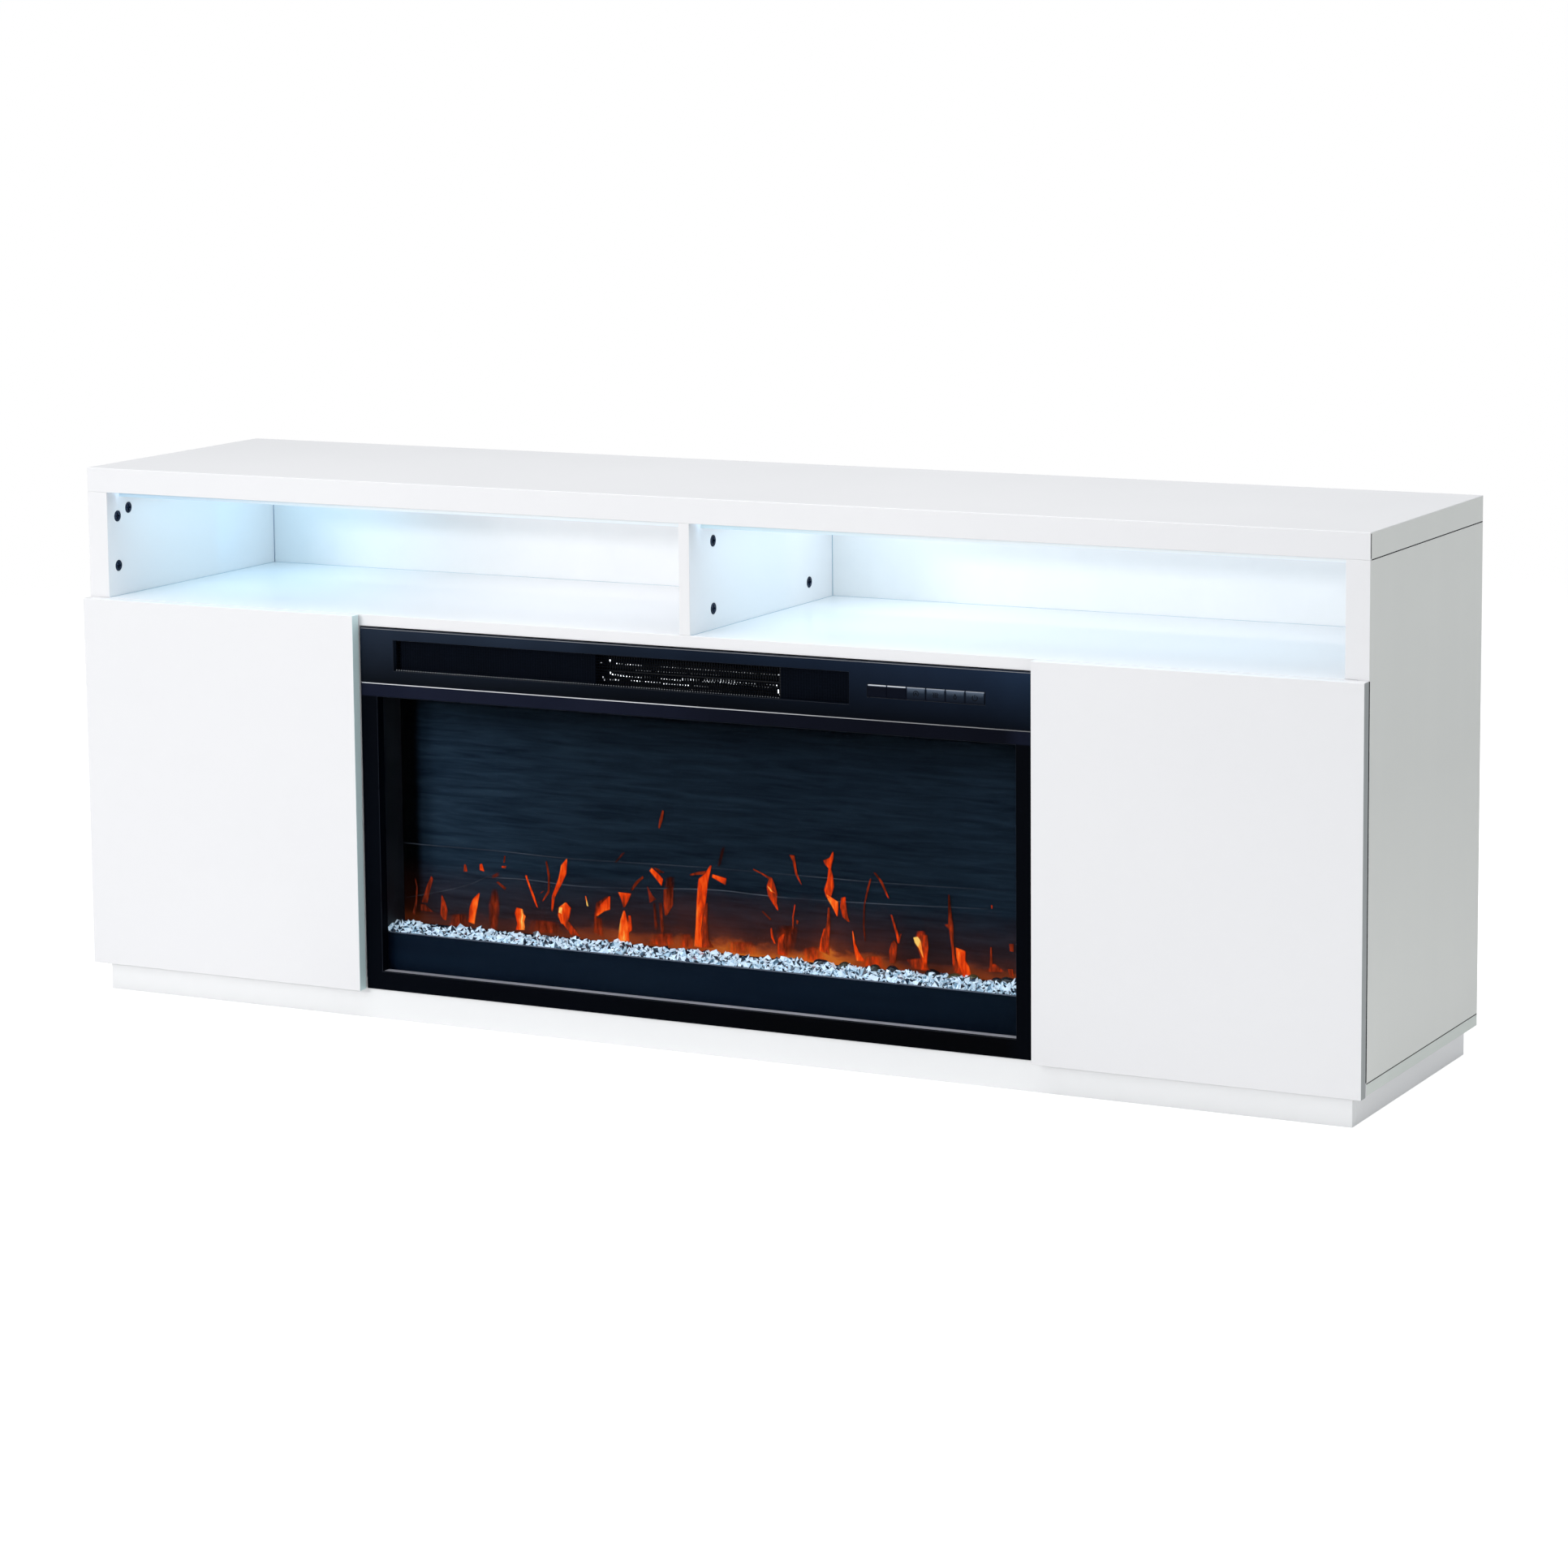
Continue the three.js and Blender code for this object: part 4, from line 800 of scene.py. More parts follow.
def makeHinges():
    for side, sign in leftRight:
        plateScrews, wingScrews = [], []
        for level in ("upper", "lower"):
            for part, body in (("cup", side + "_door"), ("link", side + "_hinge_links"), ("arm", "cabinet")):
                node = f"{side}_{level}_hinge_{part}"
                settle(softened(node, hinge["edge"]), [hingeSteel], body, [node])
            low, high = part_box(f"{side}_{level}_hinge_arm")
            cupLow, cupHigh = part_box(f"{side}_{level}_hinge_cup")
            middle = (low.z + high.z) / 2
            plateFace = sign * (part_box("right_side_panel")[1].x - hinge["board"] * mm - hinge["plate"] * mm)
            wingX = cupLow.x + hinge["wingIn"] * mm if sign > 0 else cupHigh.x - hinge["wingIn"] * mm
            for spot in (-1, 1):
                plateZ = middle + spot * hinge["plateScrewReach"] * mm
                wingZ = middle + spot * hinge["wingScrewReach"] * mm
                place = (plateFace, low.y + hinge["plateScrewBack"] * mm, plateZ)
                plateScrews.append(screwAt("x", -sign, place))
                wingScrews.append(screwAt("y", 1, (wingX, cupHigh.y, wingZ), hinge["wingScrewSize"]))
        screwsPiece(side + "_arm_screws", plateScrews)
        screwsPiece(side + "_cup_screws", wingScrews, side + "_door")


# A stud's crown is a list of shares of its radius and its rise
pads = {"radius": 4, "rise": 1.1, "inset": 9, "sink": 0.3, "sides": 18, "fromFoot": 2, "fromTop": 4,
        "crown": [(1, 0.35), (0.88, 0.7), (0.6, 0.94), (0, 1)]}


def stud(s, centre):
    radius, rise, sink = (s[key] * mm for key in ("radius", "rise", "sink"))
    profile = [(0, -sink), (radius, -sink)] + [(radius * out, rise * up) for out, up in s["crown"]]
    return turned(profile, "y", centre, s["sides"])


def makePads():
    # Soft bumpers on the back of each door, at the corners by its free edge
    inset = pads["inset"] * mm
    for side, sign in leftRight:
        low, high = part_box(side + "_door")
        x = (high.x if sign < 0 else low.x) + sign * inset
        heights = (low.z + pads["fromFoot"] * inset, high.z - pads["fromTop"] * inset)
        addPiece(side + "_door_pads", [stud(pads, (x, high.y, z)) for z in heights], [clearPad],
                 side + "_door")


makeCams()
makeHinges()
makePads()
print("fastenings made")

# Light strips under the top

strip = {"wall": 0.9, "backRise": 2.4, "bulge": 1.1, "lowest": 0.1, "shy": 0.5}


def makeStrips():
    wall = strip["wall"] * mm
    for side, _ in leftRight:
        low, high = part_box(side + "_led_strip")
        backFoot = low.z + strip["backRise"] * mm
        # A white channel, deeper at the front so that its lens shines back into the bay; its finish paints blue
        # light and a glow on it
        channel = [(low.y, high.z), (high.y, high.z), (high.y, backFoot), (high.y - wall, backFoot),
                   (high.y - wall, high.z - wall), (low.y + wall, high.z - wall), (low.y + wall, low.z),
                   (low.y, low.z)]
        addPiece(side + "_strip_channel", [carried(channel, "x", low.x, high.x)], [stripChannelPaintedGlow])
        share = np.linspace(0, 1, 9)
        lensY = low.y + wall + share * (high.y - low.y - 2 * wall)
        bulge = strip["bulge"] * mm * np.sin(share * math.pi)
        lensZ = low.z + wall + share * (backFoot - low.z - wall) - bulge
        lensZ = np.maximum(lensZ, low.z + strip["lowest"] * mm)
        lens = [*zip(lensY, lensZ), (high.y - wall, high.z - 3 * wall), (low.y + wall, high.z - 3 * wall)]
        made = carried(lens, "x", low.x + strip["shy"] * mm, high.x - strip["shy"] * mm)
        addPiece(side + "_strip_lens", [made], [stripGlow], standsFor=[side + "_led_strip"])


corner = {"upright": 0.8, "joint": 0.7, "rise": 0.12, "front": 2, "round": 0.05}


def makeBayCorners():
    # Thin shadow gaps where the bay's boards meet: dark up the corners, paler along the deck
    deck, top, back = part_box("deck_shelf")[1].z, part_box("top_panel")[0].z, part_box("upper_back_panel")[0].y
    rise, upright, joint, shy = (corner[key] * mm for key in ("rise", "upright", "joint", "front"))
    front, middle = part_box("deck_shelf")[0].y + shy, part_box("centre_divider")
    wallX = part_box("upper_back_panel")[1].x
    for side, start, end, look in (("left", -wallX, middle[0].x, bayCorner),
                                   ("right", middle[1].x, wallX, bayJoint)):
        dark = [((x, back - rise, deck), (x + upright, back + rise, top)) for x in (start, end - upright)]
        pale = [((start, back - joint, deck - rise), (end, back, deck + rise))]
        pale += [((x, front, deck - rise), (x + joint, back, deck + rise)) for x in (start, end - joint)]
        addPiece(side + "_bay_corners", blocks(dark, corner["round"]), [look])
        addPiece(side + "_bay_joints", blocks(pale, corner["round"]), [bayJoint])


makeStrips()
makeBayCorners()
print("bays made")

# Front plates, slot, grille, heater and buttons

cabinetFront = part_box("control_fascia")[0].y + 0.002
grille = {"pitch": 3.6, "first": 1.6, "strand": 0.28, "crossed": 0.8, "reach": 0.6, "border": 3, "sides": 6,
          "plate": 0.2, "plateGap": 0.05, "plateIn": 9, "plateOver": 20, "plateClear": 0.5, "plateRound": 0.05,
          "bead": 0.5, "beadEnd": 130, "beadIn": 3.2, "lipRise": 17.2, "beadGlow": (0.5, 0.26, 0.1)}


def ringPlate(outer, inner, near, far):
    # Four corners, each with an outer and an inner point on the near and the far plane, joined into a ring
    section = ((outer, near), (outer, far), (inner, far), (inner, near))
    points = np.array([[(box[i][0], y, box[j][1]) for box, y in section]
                       for i, j in ((0, 0), (1, 0), (1, 1), (0, 1))])
    return points.reshape(-1, 3), gridFaces(4, 4, wrapRows=True, wrapColumns=True).tolist()


def glintPiece(name, made, glow):
    # Each repeated spot keeps one glint number on all its points
    piece = addPiece(name, [made], [paintedGlint])
    marked(piece, "glint", np.repeat(glow, len(piece.data.vertices) // len(glow)))


def marked(piece, name, values, kind="POINT"):
    piece.data.attributes.new(name, "FLOAT", kind).data.foreach_set("value", values.astype(np.float32))


def makeGrille():
    low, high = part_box("outlet_grille")
    border, strand, reach, first, pitch, bead = (
        grille[key] * mm for key in ("border", "strand", "reach", "first", "pitch", "bead"))
    inner = ((low.x + border, low.z + border), (high.x - border, high.z - border))
    frameRing = ringPlate(((low.x, low.z), (high.x, high.z)), inner, low.y, high.y)
    across, upright = (np.arange(inner[0][k] + first, inner[1][k], pitch) for k in (0, 1))
    angle = np.arange(grille["sides"]) / grille["sides"] * 2 * math.pi
    ring = np.stack([strand * np.cos(angle), strand * np.sin(angle)], 1)
    tall, long = (carried(ring, axis, inner[0][k] - reach, inner[1][k] + reach)
                  for axis, k in (("z", 1), ("x", 0)))
    middle, apart = (low.y + high.y) / 2, strand * grille["crossed"]
    wires = [repeated(tall, np.stack([across, np.full_like(across, middle - apart), 0 * across], 1)),
             repeated(long, np.stack([0 * upright, np.full_like(upright, middle + apart), upright], 1))]
    addPiece("outlet_mesh", [frameRing, *wires], [meshBlack], standsFor=["outlet_grille"])
    # Dark blind plates behind the mesh, on both sides of the heater: back sheets that also stand for the shade
    # inside the slot, painted shade
    heaterLow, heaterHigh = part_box("heater_housing")
    inset, over, clear, gap, thick = (
        grille[key] * mm for key in ("plateIn", "plateOver", "plateClear", "plateGap", "plate"))
    rear = high.y + gap
    plates = [((start, rear, low.z), (end, rear + thick, high.z)) for start, end in (
        (low.x + inset, heaterLow.x + over), (heaterHigh.x + clear, high.x))]
    addPiece("outlet_shade_plates", blocks(plates, grille["plateRound"]), [meshBlack])
    # Painted glints along the slot's lower lip: small glowing beads
    outline = [(0, -bead), (bead * 0.8, -bead * 0.5), (bead * 0.8, bead * 0.5), (0, bead)]
    dot = turned(outline, "z", (0, 0, 0), grille["sides"])
    spots = across[across < grille["beadEnd"] * mm]
    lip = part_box("control_fascia")[0].z + grille["lipRise"] * mm
    deep = grille["beadIn"] * mm + cabinetFront
    places = np.stack([spots, np.full_like(spots, deep), np.full_like(spots, lip)], 1)
    glintPiece("outlet_mesh_glints", repeated(dot, places),
               np.interp(spots, [spots[0], 0, spots[-1]], grille["beadGlow"]))


heater = {"pitch": 3.6, "sheet": 0.22, "rail": 2.2, "side": 10.2, "foot": 8, "railOver": 4, "endIn": 3,
          "bar": 4, "finIn": 1, "ahead": 0.15, "seed": 5, "dotPitch": 3.43, "dotDeep": 0.35, "clipDeep": 0.4,
          "clipGlow": 2.4}
# Rows of painted glints on the heater's folds in picture places: start, end, width, height and glow at the two
# ends
heaterRows = {
    "top": ((760, 817.5), (790, 820), 0.8, 0.6, 0.8, 0.55),
    "topRight": ((815, 821.5), (962, 832), 0.6, 0.5, 0.2, 0.12),
    "second": ((784, 826), (886, 832), 0.5, 0.5, 0.1, 0.05),
    "mainLeft": ((755, 831), (768, 832.5), 0.9, 0.8, 1.0, 0.8),
    "main": ((765, 833), (790, 835), 0.95, 0.9, 1.3, 1.1),
    "mainStrokes": ((795, 834), (814, 836), 0.5, 1.7, 0.3, 0.4),
    "mainMiddle": ((815, 836.5), (838, 838.5), 0.8, 0.8, 0.9, 0.85),
    "strokes": ((841, 837), (905, 839.5), 0.45, 1.9, 0.32, 0.25),
    "strokesLow": ((866, 840), (905, 841.5), 0.6, 0.6, 0.45, 0.25),
    "mainRight": ((905, 840.5), (930, 842.5), 0.8, 0.6, 0.75, 0.7),
    "mainEnd": ((945, 843), (957, 844.5), 0.85, 0.7, 0.8, 0.8),
    "under": ((778, 838.5), (813, 841), 0.9, 0.7, 0.9, 0.75),
    "underMiddle": ((818, 842.5), (848, 844.5), 0.8, 0.7, 0.55, 0.8),
    "underEnd": ((856, 845), (872, 846.5), 0.7, 0.6, 0.35, 0.2),
    "underRight": ((897, 842.5), (950, 847), 0.6, 0.5, 0.3, 0.12),
    "edge": ((745, 837), (762, 838), 0.9, 0.9, 0.1, 0.5),
    "low": ((778, 846), (900, 852), 0.4, 0.4, 0.06, 0.03),
}
# Painted glints at the clips: place, width, height and glow
heaterClips = {
    "upperLeft": ((751.5, 814), 1.0, 1.7, 1.2), "lowerLeft": ((752, 829), 1.1, 1.5, 1.1),
    "strayUpper": ((741, 816.5), 1.6, 0.4, 0.22), "strayLower": ((743, 834.5), 0.7, 1.6, 0.35),
    "strayLowest": ((745, 838), 0.8, 0.9, 0.3), "lowLeft": ((758.5, 837.5), 1.0, 0.8, 1.0),
    "rightUpper": ((960, 831.5), 1.6, 0.6, 0.3), "rightHook": ((959, 852), 0.9, 2.9, 0.9),
    "rightHookTop": ((961, 847.5), 0.7, 1.2, 0.5), "rightHookFoot": ((961, 856), 1.1, 0.7, 0.6),
}


def makeHeater():
    low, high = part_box("heater_element")
    side, inset, rail, over, endIn, bar, sheet, finIn = (heater[key] * mm for key in (
        "side", "foot", "rail", "railOver", "endIn", "bar", "sheet", "finIn"))
    left, right, foot, top = low.x + side, high.x - side, low.z + inset, high.z - inset
    middle, near, far = (foot + top) / 2, low.y, high.y
    rails = blocks([((left - over, near, z - rail / 2), (right + over, far, z + rail / 2))
                    for z in (foot, middle, top)], 0.3)
    rims = blocks([((low.x, near, low.z), (left - endIn, far, high.z)),
                   ((right + endIn, near, low.z), (high.x, far, high.z)),
                   ((left - over, near, low.z), (right + over, far, low.z + bar)),
                   ((left - over, near, high.z - bar), (right + over, far, high.z))], 0.5)
    # Each row of fins is one strip folded up and down between two rails
    count = int((right - left) / (heater["pitch"] * mm)) * 2
    x = np.linspace(left, right, count + 1)
    faces = gridFaces(count + 1, 4, wrapColumns=True).tolist()
    faces += [[0, 1, 2, 3], [4 * count + k for k in (3, 2, 1, 0)]]
    sheets = []
    for under, above in ((foot, middle), (middle, top)):
        z = np.where(np.arange(count + 1) % 2 == 0, under + rail / 2, above - rail / 2)
        ring = np.stack([np.stack([x + shift, np.full_like(x, y), z], 1) for shift, y in (
            (-sheet, near + finIn), (-sheet, far - finIn), (sheet, far - finIn), (sheet, near + finIn))], 1)
        sheets.append((ring.reshape(-1, 3), faces))
    addPiece("heater_fins", [*rails, *rims, *sheets], [heaterMetal],
             standsFor=["heater_element"])
    # Painted glints: small glowing beads just in front of the fins, where folds and clips catch the light
    bead = turned([(0, -1), (0.85, -0.6), (0.85, 0.6), (0, 1)], "z", (0, 0, 0), 6)
    chance = np.random.default_rng(heater["seed"])
    ahead = near - heater["ahead"] * mm
    places, sizes, glow = [], [], []
    for start, end, wide, tall, glowStart, glowEnd in heaterRows.values():
        number = round((end[0] - start[0]) / heater["dotPitch"]) + 1
        share = np.linspace(0, 1, number)[:, None]
        places.append(onPlane(np.array(start) * (1 - share) + np.array(end) * share, ahead))
        size = np.tile([wide / 2, heater["dotDeep"], tall], (number, 1))
        sizes.append(size * chance.uniform(0.75, 1.15, (number, 1)))
        uneven = 0.6 + 9 * chance.uniform(0, 1, number) ** 2
        glow.append(np.interp(share[:, 0], [0, 1], [glowStart, glowEnd]) * uneven)
    for spot, wide, tall, shine in heaterClips.values():
        places.append(onPlane([spot], ahead))
        sizes.append([[wide, heater["clipDeep"], tall]])
        glow.append([shine * heater["clipGlow"]])
    places, sizes, glow = (np.concatenate(a) for a in (places, sizes, glow))
    glintPiece("heater_glints", repeated(bead, places, sizes[:, None, :] * np.eye(3) * mm), glow)


button = {"foot": 1.2, "sag": 0.5, "deep": 6, "grid": (27, 25), "keeper": (2.8, 4), "stem": (4.8, 2, 0.3, 1.7),
          "rimFrom": 0.74, "plainRim": 1.0, "rim": 0.74, "sideFrom": 0.94, "icon": 0.16, "iconReach": 3.4,
          "stroke": 0.9, "plain": 2}


def makeButtons():
    foot, sag, deep = (button[key] * mm for key in ("foot", "sag", "deep"))
    keeperNear, keeperFar = (value * mm for value in button["keeper"])
    stemNear, stemRadius, stemEdge, stemTip = (value * mm for value in button["stem"])
    u, v = (np.linspace(-1, 1, count) for count in button["grid"])
    for number in range(1, 7):
        node = f"button_{number}"
        low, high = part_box(node)
        middle = ((low.x + high.x) / 2, 0, (low.z + high.z) / 2)
        across = middle[0] + u * (high.x - low.x) / 2
        upright = low.z + foot + (v + 1) / 2 * (high.z - low.z - 2 * foot)
        # The cap's face falls back towards its rim as a high power of the distance from its middle
        fall = sag * np.clip(np.abs(u[:, None]) ** 16 + np.abs(v) ** 6, 0, 1)
        cap = sheetBlock(across, upright, low.y + fall, low.y + deep)
        keeper = roundedBoard((low.x, low.y + keeperNear, low.z), (high.x, low.y + keeperFar, high.z),
                              0.2 * mm, 1)
        stem = turned([(0, low.y + stemNear), (stemRadius, low.y + stemNear), (stemRadius, high.y - stemEdge),
                       (stemTip, high.y), (0, high.y)], "y", middle, 16)
        piece = even(addPiece(node + "_cap", [cap, keeper, stem], [buttonCap], node, [node]))
        # Painted light and shade: the two plain buttons are dark below a bright rim; the others fade from grey
        # at the top to black, and all darken at their sides
        plain = number <= button["plain"]
        rim = np.clip((v - button["rimFrom"]) * 9, 0, 1) * button["plainRim" if plain else "rim"]
        edge = np.clip((1 - np.abs(u[:, None])) * 9, 0.1, 1)
        body = 0 * edge if plain else (0.08 + 0.56 * (0.5 + 0.5 * v) ** 1.5) * edge
        lit = np.maximum(body, rim) * np.where(np.abs(u[:, None]) > button["sideFrom"], 0.3, 1)
        values = np.zeros(len(piece.data.vertices))
        values[:lit.size] = lit.ravel()
        marked(piece, "lit", values)
        if not plain:
            makeIcon(number, middle[0], low.y, middle[2])


def iconStroke(path, x, y, z, width):
    path = np.array(path, float) * mm
    slope = np.gradient(path, axis=0)
    slope /= np.linalg.norm(slope, axis=1)[:, None]
    side = np.stack([slope[:, 1], -slope[:, 0]], 1) * width * mm / 2
    side[[0, -1]] = 0
    lines = [np.stack([x + e[:, 0], np.full(len(e), y), z + e[:, 1]], 1) for e in (path - side, path + side)]
    points, quads = band(*lines, button["icon"] * mm)
    return closeUp(points.reshape(-1, 3), quads)


def arcPath(radius, start, end, steps=24):
    angle = np.radians(np.linspace(start, end, steps))
    return np.stack([radius * np.cos(angle), radius * np.sin(angle)], 1)


def makeIcon(number, x, y, z):
    # Generic signs: a dial, heat waves, a flame and an on-off ring
    reach = button["iconReach"]
    height = np.linspace(-reach, reach, 20)
    flameHalf = arcPath(1, -90, 90, 20)[:, 0] * 0.55 * reach
    if number == 3:
        strokes = [arcPath(reach, -60, 240), [(-1.6, -1.8), (-0.1, 1.7)], [(1.6, -1.8), (0.1, 1.7)]]
    elif number == 4:
        strokes = [np.stack([shift + 0.7 * np.sin(height * 1.6), height], 1) for shift in (-2.4, 0, 2.4)]
    elif number == 5:
        strokes = [np.stack([side * flameHalf * (1 - height / reach) / 1.3, height], 1) for side in (-1, 1)]
    else:
        strokes = [arcPath(reach, -235, 55), [(0, 0.4), (0, reach * 1.15)]]
    parts = [iconStroke(smoothed(stroke, 24), x, y, z, button["stroke"]) for stroke in strokes]
    addPiece(f"button_{number}_sign", parts, [iconPaint], f"button_{number}")


highlightStrips = {"tall": 0.9, "seamTall": 1.0, "proud": 0.12, "deep": 1.2, "in": 1.4, "round": 0.1,
         "fasciaHighlight": (2.2, 1.2), "opening": 24, "ledgeRise": 0.3, "ledgeIn": 4.2, "crestRise": 14.2,
         "apronLine": 1.3}


def makeHighlightStrips():
    # Painted highlights as thin strips: bright on the seam between the plates, grey on the fascia's top, a pale
    # ledge under the glass and a dim line on the tray's apron
    low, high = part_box("glass_frame")
    fasciaLow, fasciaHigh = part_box("control_fascia")
    trayLow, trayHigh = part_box("ember_tray")
    tall, seam, proud, deep, inset, border, rise, ledgeIn, line = (highlightStrips[key] * mm for key in (
        "tall", "seamTall", "proud", "deep", "in", "opening", "ledgeRise", "ledgeIn", "apronLine"))
    near, far, ledge = low.y - proud, low.y + deep, low.z + border
    bottom, top = (fasciaHigh.z - share * tall for share in highlightStrips["fasciaHighlight"])
    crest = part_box("crystal_bed")[0].z + highlightStrips["crestRise"] * mm
    for name, look, slot, start, end in (
            ("seam_highlight", seamHighlight, "black_plate", (low.x + inset, near, high.z - seam),
             (high.x - inset, far, high.z)),
            ("fascia_top_highlight", fasciaTopHighlight, "black_plate", (fasciaLow.x + inset, near, bottom),
             (fasciaHigh.x - inset, far, top)),
            ("glass_ledge_highlight", ledgeHighlight, "black_plate", (low.x + border, low.y + ledgeIn, ledge - rise),
             (high.x - border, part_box("front_glass")[0].y - rise, ledge + rise)),
            ("apron_highlight", apronHighlight, "black_plastic", (trayLow.x + inset, trayLow.y - proud, crest - line),
             (trayHigh.x - inset, trayLow.y + proud, crest))):
        addPiece(name, blocks([(start, end)], highlightStrips["round"]), [look])


def makeFront():
    for node, look in (("control_fascia", fasciaBlack), ("glass_frame", frameBlack)):
        settle(softened(node, 0.5, 2, edgeLook=True), [look, blackEdge], standsFor=[node])
    makeHighlightStrips()
    even(addPiece("glass_pane", blocks([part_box("front_glass")], 0.6, 2), [smokedGlass],
                  standsFor=["front_glass"]))
    settle(softened("ember_tray", 0.3, 1), [trayBlack], standsFor=["ember_tray"])


makeFront()
makeGrille()
makeHeater()
makeButtons()
print("front made")

# Crystals and pebbles

crystals = {"seed": 11, "across": 8.4, "rows": 7, "size": (4.4, 7.9), "jitter": 0.34, "coreTop": 0.45,
            "coreGrid": (120, 7), "drops": (4.2, 10.5, 16.5), "uneven": 1.5, "endIn": 5, "nearIn": 4.5,
            "farIn": 5, "lowerDepth": 22, "shines": [0.02, 0.3, 0.6, 0.95], "shares": [0.22, 0.13, 0.22, 0.43]}
pebbles = {
    "seed": 3, "halfSize": (11, 8, 7), "behind": 9, "sunk": 1.5, "over": 8, "lumps": 0.12,
    "pixels": [(1040, 1180), (1100, 1187), (1150, 1193), (1200, 1197), (1230, 1190), (1012, 1172),
               (1176, 1199), (1078, 1186), (1243, 1203)],
}


def turnsFrom(chance, count):
    # Random turns, as the orthogonal part of random matrices
    matrices, _ = np.linalg.qr(chance.normal(size=(count, 3, 3)))
    matrices[:, :, 0] *= np.sign(np.linalg.det(matrices))[:, None]
    return matrices


def ballFaces(bands, sides):
    tilt = np.linspace(0, math.pi, bands + 1)
    return turned(np.stack([np.sin(tilt), np.cos(tilt)], 1), "z", (0, 0, 0), sides)


def bedHeight(x, y, low, high):
    # The heap's top: a low arch across the tray with slow waves along it
    across = (y - low.y) / (high.y - low.y)
    arch = np.sin(np.clip(across, 0, 1) * math.pi * 0.62 + 0.5)
    wave = np.sin(x * 31) * np.cos(x * 11 + across * 3)
    return low.z + (high.z - low.z) * (0.36 + 0.15 * arch + 0.035 * wave + 0.06 * x)


def makeCrystals():
    low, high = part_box("crystal_bed")
    chance = np.random.default_rng(crystals["seed"])
    # The core is a dark block under the chips: painted shade of the heap's depth
    across, depth = (np.linspace(low[k], high[k], crystals["coreGrid"][k]) for k in (0, 1))
    x, y = np.meshgrid(across, depth, indexing="ij")
    roof = low.z + (bedHeight(x, y, low, high) - low.z) * crystals["coreTop"]
    points, faces = sheetBlock(across, depth, roof, np.full_like(roof, low.z))
    piece = addPiece("crystal_bed_core", [(points[:, [0, 2, 1]], faces)], [darkPebble])
    marked(piece, "shine", np.full(len(piece.data.polygons), 0.1), "FACE")
    # Layers of chips: a ball of few faces, each point pushed in or out, flattened and turned at random
    step, endIn, nearIn, farIn, reach = (crystals[key] * mm for key in (
        "across", "endIn", "nearIn", "farIn", "lowerDepth"))
    grid = np.meshgrid(np.linspace(low.x + endIn, high.x - endIn, int((high.x - low.x) / step)),
                       np.linspace(low.y + nearIn, high.y - farIn, crystals["rows"]), indexing="ij")
    centres = []
    for layer, drop in enumerate(crystals["drops"]):
        x, y = (places + chance.uniform(-0.45, 0.45, places.shape) * step for places in grid)
        z = bedHeight(x, y, low, high) - drop * mm + chance.normal(0, crystals["uneven"], x.shape) * mm
        spots = np.stack([x, y, z], -1).reshape(-1, 3)
        # Only the front of the lower layers can be seen
        centres.append(spots[spots[:, 1] < low.y + reach] if layer else spots)
    centres = np.concatenate(centres)
    shape, faces = ballFaces(3, 5)
    count = len(centres)
    size = chance.uniform(*crystals["size"], (count, 1, 1)) * mm
    flat = chance.uniform(0.55, 1, (count, 1, 3))
    jitter = chance.uniform(-1, 1, (count, len(shape), 1)) * crystals["jitter"]
    pushed = shape[None] * (1 + jitter) * size * flat
    chips = np.einsum("nij,nkj->nki", turnsFrom(chance, count), pushed) + centres[:, None]
    points = np.clip(chips.reshape(-1, 3), np.array(low), np.array(high))
    triangles = []
    for face in faces:
        triangles += [face] if len(face) == 3 else [[face[0], face[1], face[2]], [face[0], face[2], face[3]]]
    triangles = np.array(triangles)[None] + (np.arange(count) * len(shape))[:, None, None]
    piece = meshOf("crystal_chips", points, triangles.reshape(-1, 3).tolist(), smoothBelow=0)
    settle(piece, [clearCrystal], standsFor=["crystal_bed"])
    # Facets are bright, pale or dark by chance: painted light and shade
    drawn = chance.choice(crystals["shines"], len(piece.data.polygons), p=crystals["shares"])
    marked(piece, "shine", drawn + chance.uniform(-0.08, 0.08, len(drawn)), "FACE")


def makePebbles():
    low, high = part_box("crystal_bed")
    chance = np.random.default_rng(pebbles["seed"])
    behind, sunk, over = (pebbles[key] * mm for key in ("behind", "sunk", "over"))
    centres = onPlane(pebbles["pixels"], high.y - behind)
    centres[:, 2] = bedHeight(centres[:, 0], centres[:, 1], low, high) - sunk
    shape, faces = ballFaces(8, 12)
    count = len(centres)
    half = np.array(pebbles["halfSize"]) * mm * chance.uniform(0.75, 1.1, (count, 1, 1))
    lumps = pebbles["lumps"] * np.sin(3 * shape[None, :, :1] + chance.uniform(0, 6, (count, 1, 1)))
    points = np.clip(shape[None] * half * (1 + lumps) + centres[:, None], np.array(low),
                     np.array(high) + np.array([0, 0, over]))
    piece = meshOf("dark_pebbles", *joined(*[(pebble, faces) for pebble in points]), smoothBelow=60)
    settle(piece, [darkPebble])
    marked(piece, "shine", chance.uniform(0.2, 0.95, count).repeat(len(faces)), "FACE")


makeCrystals()
makePebbles()
print("crystals made")

